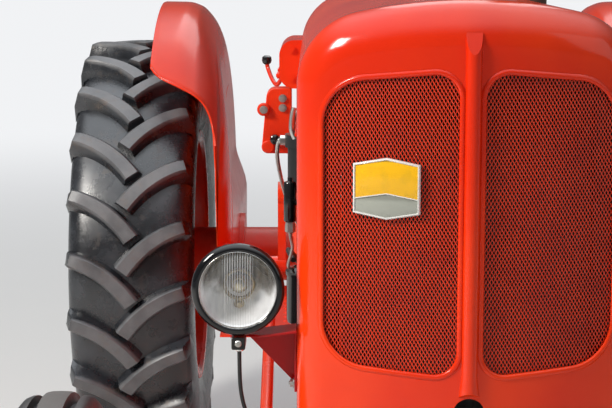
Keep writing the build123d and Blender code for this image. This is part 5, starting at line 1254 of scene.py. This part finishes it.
dish_line = [(0.0055, 0.0655), (0.0040, 0.0630), (-0.010, 0.0560), (-0.024, 0.0460), (-0.036, 0.0340)]
dish_line += [(-0.044, 0.0220), (-0.048, 0.0120), (-0.049, 0.0)]
glass_line = [(0.0070, 0.0652), (0.0105, 0.0592), (0.0135, 0.0480), (0.0158, 0.0320), (0.0171, 0.0160)]
glass_line += [(0.0175, 0.0)]
bulb_line = [(-0.048, 0.006), (-0.034, 0.006), (-0.032, 0.005), (-0.027, 0.0055), (-0.022, 0.0072)]
bulb_line += [(-0.017, 0.0078), (-0.012, 0.0062), (-0.0095, 0.0032), (-0.009, 0.0)]
holder_line = [(-0.049, 0.0155), (-0.040, 0.0155), (-0.038, 0.013), (-0.032, 0.0115), (-0.031, 0.0095)]
collar_line = [(-0.0440, 0.0275), (-0.0350, 0.0270), (-0.0335, 0.0250), (-0.0345, 0.0228), (-0.0440, 0.0220)]
pilot_line = [(-0.0400, 0.0088), (-0.0320, 0.0088), (-0.0310, 0.0066), (-0.0300, 0.0060), (-0.0240, 0.0052)]
pilot_line += [(-0.0215, 0.0030), (-0.0210, 0.0)]
silver, place = finish_named("reflector_silver")
cloud = mottle(place, 40, 4).ramp(0.4, 0.8)
# Painted reflection: the reflector is bright in its lower half and dark in its upper half, as the sky and the
# ground would show in it.
painted_reflection_mask = (axes(place)[2] + cloud * 0.016 - lamp_z).ramp(-0.014, 0.022)
tint = blend(cloud, (0.95, 0.96, 0.98), (0.80, 0.80, 0.81))
sockets = {
    "Base Color": blend(painted_reflection_mask, tint, (0.26, 0.24, 0.22)),
    "Metallic": painted_reflection_mask * 0.5 + 0.2,
    "Roughness": cloud * 0.08 + 0.14,
}
close(place, sockets)
fluted, place = finish_named("fluted_glass")
x, y, z = axes(place)
off = abs(abs(x) - lamp_x)
wave = (x * (2 * math.pi / 0.0042)).sum("SINE") * 0.5 + 0.5
middle_band = (1 - off.ramp(0.022, 0.028)) * ((z - lamp_z).ramp(-0.050, 0.020) * 0.6 + 0.4)
side_wave = (x * (2 * math.pi / 0.0105)).sum("SINE") * 0.5 + 0.5
flute = wave * middle_band + side_wave * (1 - middle_band) * 0.6
sockets = {
    "Base Color": blend(flute, (0.74, 0.79, 0.82), (0.93, 0.95, 0.96)),
    "Roughness": mottle(place, 30) * 0.05 + 0.03,
    "Alpha": wave * middle_band * 0.28 + flute * 0.08 + 0.06,
    "Specular IOR Level": 0.6,
    "Normal": bump(flute, 0.0010),
}
close(place, sockets)
bulb_glass, place = finish_named("bulb_amber")
cloud = mottle(place, 90)
sockets = {
    "Base Color": blend(cloud, (0.62, 0.55, 0.38), (0.42, 0.34, 0.20)),
    "Roughness": cloud * 0.1 + 0.08,
    "Coat Weight": 0.6,
}
close(place, sockets)
brass = metal("aged_brass", (0.40, 0.30, 0.15), (0.14, 0.10, 0.06), 0.28, depth=0.00002, stained=0.6)
lamp_parts = (
    ("lamp_shell", shell_line, sheet_red, 64, {"instead": "headlamp_shells"}),
    ("lamp_rim", rim_line, lamp_black, 72, {"crease": 50, "instead": "headlamp_rims"}),
    ("lamp_bezel", bezel_line, chrome, 72, {"crease": 60}),
    ("reflector", dish_line, silver, 64, {}),
    ("lamp_glass", glass_line, fluted, 72, {"instead": "headlamp_glasses"}),
    ("bulb", bulb_line, bulb_glass, 28, {}),
    ("bulb_holder", holder_line, brass, 28, {"closed": False}),
    ("bulb_collar", collar_line, brass, 40, {"crease": 60}),
)
stem = [(0.9120, 0.0), (0.9120, 0.0108), (0.9480, 0.0108), (0.9500, 0.0095), (0.9560, 0.0150)]
gland = [(0.9032, 0.0034), (0.9033, 0.0070), (0.9045, 0.0080), (0.9105, 0.0082), (0.9115, 0.0092)]
gland += [(0.9145, 0.0094), (0.9150, 0.0060)]
screw = [(0, 0.0056), (0.002, 0.0056), (0.0032, 0.0042), (0.0034, 0.0016), (0.0026, 0.0012), (0.0026, 0)]
back_nut = [(0.0, 0.0085), (0.0025, 0.0085), (0.003, 0.007), (0.003, 0.0)]
block = rounded([(-0.0115, -0.0105), (0.0115, -0.0105), (0.0115, 0.0105), (-0.0115, 0.0105)], [0.003] * 4, 4)
block_z, block_front, screw_z = 0.9240, -1.4170, 0.9245
for side, hand in hands:
    x = side * lamp_x
    for name, outline, finish, steps, options in lamp_parts:
        turned(f"{name}_{hand}", outline, (x, lamp_y, lamp_z), ahead, finish, steps, **options)
    turned(f"pilot_bulb_{hand}", pilot_line, (x, lamp_y, 0.983), ahead, brass, 28, crease=50)
    turned(f"lamp_stem_{hand}", stem, (x, stem_y, 0), up, sheet_red, 28, instead="headlamp_shells")
    turned(f"lead_gland_{hand}", gland, (x, stem_y, 0), up, chrome, 20, closed=False)
    rings = [[(x + u * 0.88, block_front, block_z + v * 0.87) for u, v in block]]
    rings += [[(x + u, y, block_z + v) for u, v in block] for y in (-1.4155, -1.3640)]
    set_out(f"lamp_clamp_{hand}", skinned(rings, ends=(0, -1)), soot_black)
    turned(f"clamp_screw_{hand}", screw, (x, block_front, screw_z), ahead, steel, 20)
    turned(f"shell_nut_{hand}", back_nut, (x, -1.3105, lamp_z), astern, steel, 6)
# The brackets are painted a darker red than the rest of the machine: painted shade for the shadow under the
# lamps.
bracket_shaded_colours = (0.44, 0.006, 0.006), (0.34, 0.004, 0.005)
bracket_red = enamel("bracket_red", 0.14, 0.00005, 420, *bracket_shaded_colours, dust=0.01, coat=0.0)
# Each bracket is folded from sheet: an upright web, a sloped top flange cut back round the stem, and a
# foot bolted to the cowl's side.
flange = [(0.280, -1.3525), (0.387, -1.3525), (0.392, -1.3575), (0.392, -1.3870), (0.387, -1.3925)]
flange += [(0.362, -1.3925), (0.340, -1.4105), (0.335, -1.4125), (0.280, -1.4125)]
web_line = [(0.280, 0.843), (0.284, 0.843), (0.366, 0.9285), (0.280, 0.939)]
foot_line = [(-1.3525, 0.831), (-1.3770, 0.831), (-1.3805, 0.836), (-1.3805, 0.937), (-1.3525, 0.937)]
flange_fall = (0.945 - 0.931) / (0.395 - 0.280)
bracket_wall = 0.004
tops = [(x, y, 0.945 - (x - 0.280) * flange_fall) for x, y in flange]
folds = (
    ([(x, y, z - bracket_wall) for x, y, z in tops], tops),
    [[(x, y, z) for x, z in web_line] for y in (-1.3525, -1.3525 - bracket_wall)],
    [[(x, y, z) for y, z in foot_line] for x in (0.280, 0.280 + bracket_wall)],
)
for side, hand in hands:
    shapes = [skinned([handed(side, ring) for ring in fold], ends=(0, -1)) for fold in folds]
    set_out(f"lamp_bracket_{hand}", together(*shapes), bracket_red, bevel=0.0009, instead="lamp_brackets")
bolts("bracket_bolts", [((x * 0.2842, -1.3720, 0.846), (x, 0, 0)) for x in both], 0.012, 0.007)


# Fittings on the right-hand side.
# A cast control box hangs under the scuttle's pod, with the throttle lever above it. An oil filter,
# a black coil can, a bonnet stay and thin pipes fill the side of the engine.
box_outline = [(-0.372, 1.112), (-0.302, 1.112), (-0.302, 1.262), (-0.358, 1.262)]
box_outline = rounded(box_outline, [0.014, 0.004, 0.002, 0.02], 5)
rings = [[(x, y, z) for x, z in box_outline] for y in (-0.335, -0.272)]
set_out("control_box", skinned(rings, ends=(0, -1)), cast_red, bevel=0.004)
web = [(-0.315, -0.30, 1.20), (-0.300, -0.30, 1.165), (-0.2815, -0.30, 1.140)]
tube("control_web", web, 0.011, cast_red, 12)
ear = [(0.0, 0.0), (0.0, 0.0150), (0.006, 0.0150), (0.009, 0.0125), (0.0095, 0.0)]
for i, (x, z) in enumerate(((-0.3660, 1.214), (-0.3560, 1.128))):
    turned(f"control_ear_{i + 1}", ear, (x, -0.3350, z), ahead, cast_red, 28)
control_bolts = [((-0.3660, -0.3445, 1.214), ahead)]
control_bolts += [((-0.3225, -0.3350, z), ahead) for z in (1.2392, 1.2172)]
bolts("control_bolts", control_bolts, 0.013, 0.007)
knob = [(0.0, 0.006), (0.003, 0.010), (0.010, 0.0122), (0.018, 0.0110), (0.0215, 0.006), (0.022, 0.0)]
turned("control_knob", knob, (-0.3400, -0.3350, 1.146), ahead, gloss_black, 28)
arm = [(-0.328, -0.120, 1.272), (-0.340, -0.100, 1.252), (-0.352, -0.075, 1.262)]
arm += [(-0.3635, -0.052, 1.288), (-0.3665, -0.050, 1.302)]
tube("throttle_lever", arm, 0.0052, sheet_red)
turned("throttle_knob", knob, (-0.3665, -0.050, 1.298), up, gloss_black, 28)
stay = [(-0.2830, -0.90, 1.2640), (-0.2890, -0.90, 1.2480), (-0.2915, -0.90, 1.2200)]
stay += [(-0.2930, -0.90, 1.1700), (-0.2800, -0.89, 1.1550), (-0.1560, -0.88, 1.1500)]
tube("bonnet_stay", stay, 0.0034, steel)
ferrule = [(-0.008, 0.0), (-0.008, 0.0062), (0.006, 0.0062), (0.008, 0.0046), (0.008, 0.0)]
turned("stay_ferrule", ferrule, (-0.2930, -0.90, 1.164), up, sheet_red, 20)
can = [(1.0950, 0.0), (1.0950, 0.0095), (1.0975, 0.0112), (1.1640, 0.0112), (1.1665, 0.0095)]
can += [(1.1680, 0.0045), (1.1745, 0.0045), (1.1750, 0.0)]
turned("coil_can", can, (-0.2935, -1.20, 0), up, gloss_black)
strap = [(-0.2825, -1.20, 1.130), (-0.262, -1.23, 1.130), (-0.236, -1.285, 1.130), (-0.2120, -1.345, 1.130)]
tube("coil_strap", strap, 0.0052, soot_black)
thin_pipe = [(-0.2935, -1.20, 1.0950), (-0.2930, -1.20, 1.070), (-0.2900, -1.16, 1.040)]
thin_pipe += [(-0.2990, -1.08, 0.992), (-0.2900, -1.03, 0.978)]
tube("coil_pipe", thin_pipe, 0.0030, steel, 8)
turned("coil_union", union, (-0.2932, -1.20, 1.083), down, steel, 6)
filter_line = [(0.868, 0.0), (0.868, 0.026), (0.873, 0.0335), (0.880, 0.0350), (0.962, 0.0350)]
filter_line += [(0.966, 0.0370), (0.972, 0.0370), (0.974, 0.0350), (0.978, 0.0300), (0.984, 0.0)]
turned("oil_filter", filter_line, (-0.2680, -1.020, 0), up, gloss_black, 48)
arm = [(-0.2680, -1.020, 0.992), (-0.240, -1.020, 1.004), (-0.200, -1.000, 1.010), (-0.1480, -0.985, 1.010)]
tube("oil_filter_arm", arm, 0.0145, soot_black, 16)
oil_pipe = [(-0.2900, -1.010, 0.990), (-0.300, -0.960, 1.000), (-0.292, -0.900, 0.980)]
oil_pipe += [(-0.252, -0.870, 0.930), (-0.152, -0.860, 0.880)]
tube("oil_pipe", oil_pipe, 0.0055, hose_rubber)


# Lamp leads.
# A round rubber-covered lead runs from the gland under each headlamp, down in a short loop and back
# through the cowl's side. It hangs from its two ends.
lead_half = 0.0035
lead_route = [(lamp_x, stem_y, 0.9027), (lamp_x, stem_y, 0.862), (0.3745, -1.3765, 0.826)]
lead_route += [(0.366, -1.3745, 0.792), (0.345, -1.3725, 0.768), (0.317, -1.3705, 0.765)]
lead_route += [(0.2814, -1.3685, 0.779)]
for side, hand in hands:
    curve = bpy.data.curves.new(f"lamp_lead_{hand}", "CURVE")
    curve.dimensions = "3D"
    run = curve.splines.new("NURBS")
    run.points.add(len(lead_route) - 1)
    route = handed(side, lead_route)
    for point, place in zip(run.points, route):
        point.co = (*place, 1)
    run.order_u = 3
    run.use_endpoint_u = True
    run.resolution_u = 12
    curve.bevel_depth = lead_half
    curve.bevel_resolution = 4
    curve.materials.append(hose_rubber)
    lead = added(f"lamp_lead_{hand}", curve)
    belong(lead, instead="lamp_leads")


# Floor, light and camera.
# A plain pale floor under soft lamps. The camera stands where the photograph was taken from.
reach = 40
corners = [(-reach, -reach, 0), (reach, -reach, 0), (reach, reach, 0), (-reach, reach, 0)]
floor = added("floor", mesh_of("floor", corners, [(0, 1, 2, 3)]))
pale, place = finish_named("floor_pale")
tint = blend(mottle(place, 1.2, 4), (0.80, 0.80, 0.79), (0.84, 0.84, 0.83))
matt = node(place.tree, "ShaderNodeBsdfPrincipled", {"Base Color": tint, "Roughness": 0.9})
# Only the camera sees it lighter with distance, until it meets the backdrop; shadows stay.
x, y, z = axes(place)
far = (x**2 + y**2).sum("SQRT").ramp(2.0, 11.0)
seen = node(place.tree, "ShaderNodeLightPath", out="Is Camera Ray")
glow = node(place.tree, "ShaderNodeEmission", {"Color": (0.883, 0.893, 0.911, 1), "Strength": 1.0})
close(place, node(place.tree, "ShaderNodeMixShader", {0: (far * 0.8 + 0.2) * seen, 1: matt, 2: glow}))
floor.data.materials.append(pale)

world = bpy.data.worlds.new("studio")
bpy.context.scene.world = world
world.use_nodes = True
sky = world.node_tree
sky.nodes.clear()
path = node(sky, "ShaderNodeLightPath", out="Is Camera Ray")
seen = path.sum("MAXIMUM", path.other("Is Glossy Ray")).sum("MAXIMUM", path.other("Is Transmission Ray"))
rise = axes(node(sky, "ShaderNodeTexCoord", out="Generated"))[2].ramp(0.25, 0.95)
strength = path * 0.93 + (seen - path) * (rise**2 * 2.5 + 0.16) + (1 - seen) * 0.28
shade = blend(rise, (0.95, 0.96, 0.98), (0.90, 0.95, 1.0))
backdrop = node(sky, "ShaderNodeBackground", {"Color": shade, "Strength": strength})
node(sky, "ShaderNodeOutputWorld", {"Surface": backdrop}, out=None)


def lamp(name, place, aim, size, power, colour=(1, 1, 1)):
    """A square soft lamp that faces a point."""
    data = bpy.data.lights.new(name, "AREA")
    data.size, data.energy, data.color = size, power, colour
    made = added(name, data)
    made.location = place
    made.rotation_euler = (Vector(aim) - Vector(place)).to_track_quat("-Z", "Y").to_euler()


lamp("key", (-4.8, -3.5, 4.6), (0, -0.4, 0.9), 1.5, 430, (1.0, 0.96, 0.90))
lamp("fill", (4.6, -3.4, 3.2), (0, -0.2, 0.9), 3.0, 30)
lamp("back", (0.6, 4.2, 5.6), (0, 0.4, 0.9), 3.0, 55)

focal_pixels, picture_width = 1635.86, 612
view = bpy.data.cameras.new("camera")
view.sensor_width = 36
view.lens = focal_pixels / picture_width * view.sensor_width
camera = added("camera", view)
camera.location = (-0.2523, -4.0723, 1.5656)
camera.rotation_euler = Euler((math.pi / 2 - 0.15163, 0, 0.00448))
bpy.context.scene.camera = camera
bpy.context.scene.view_settings.view_transform = "Standard"
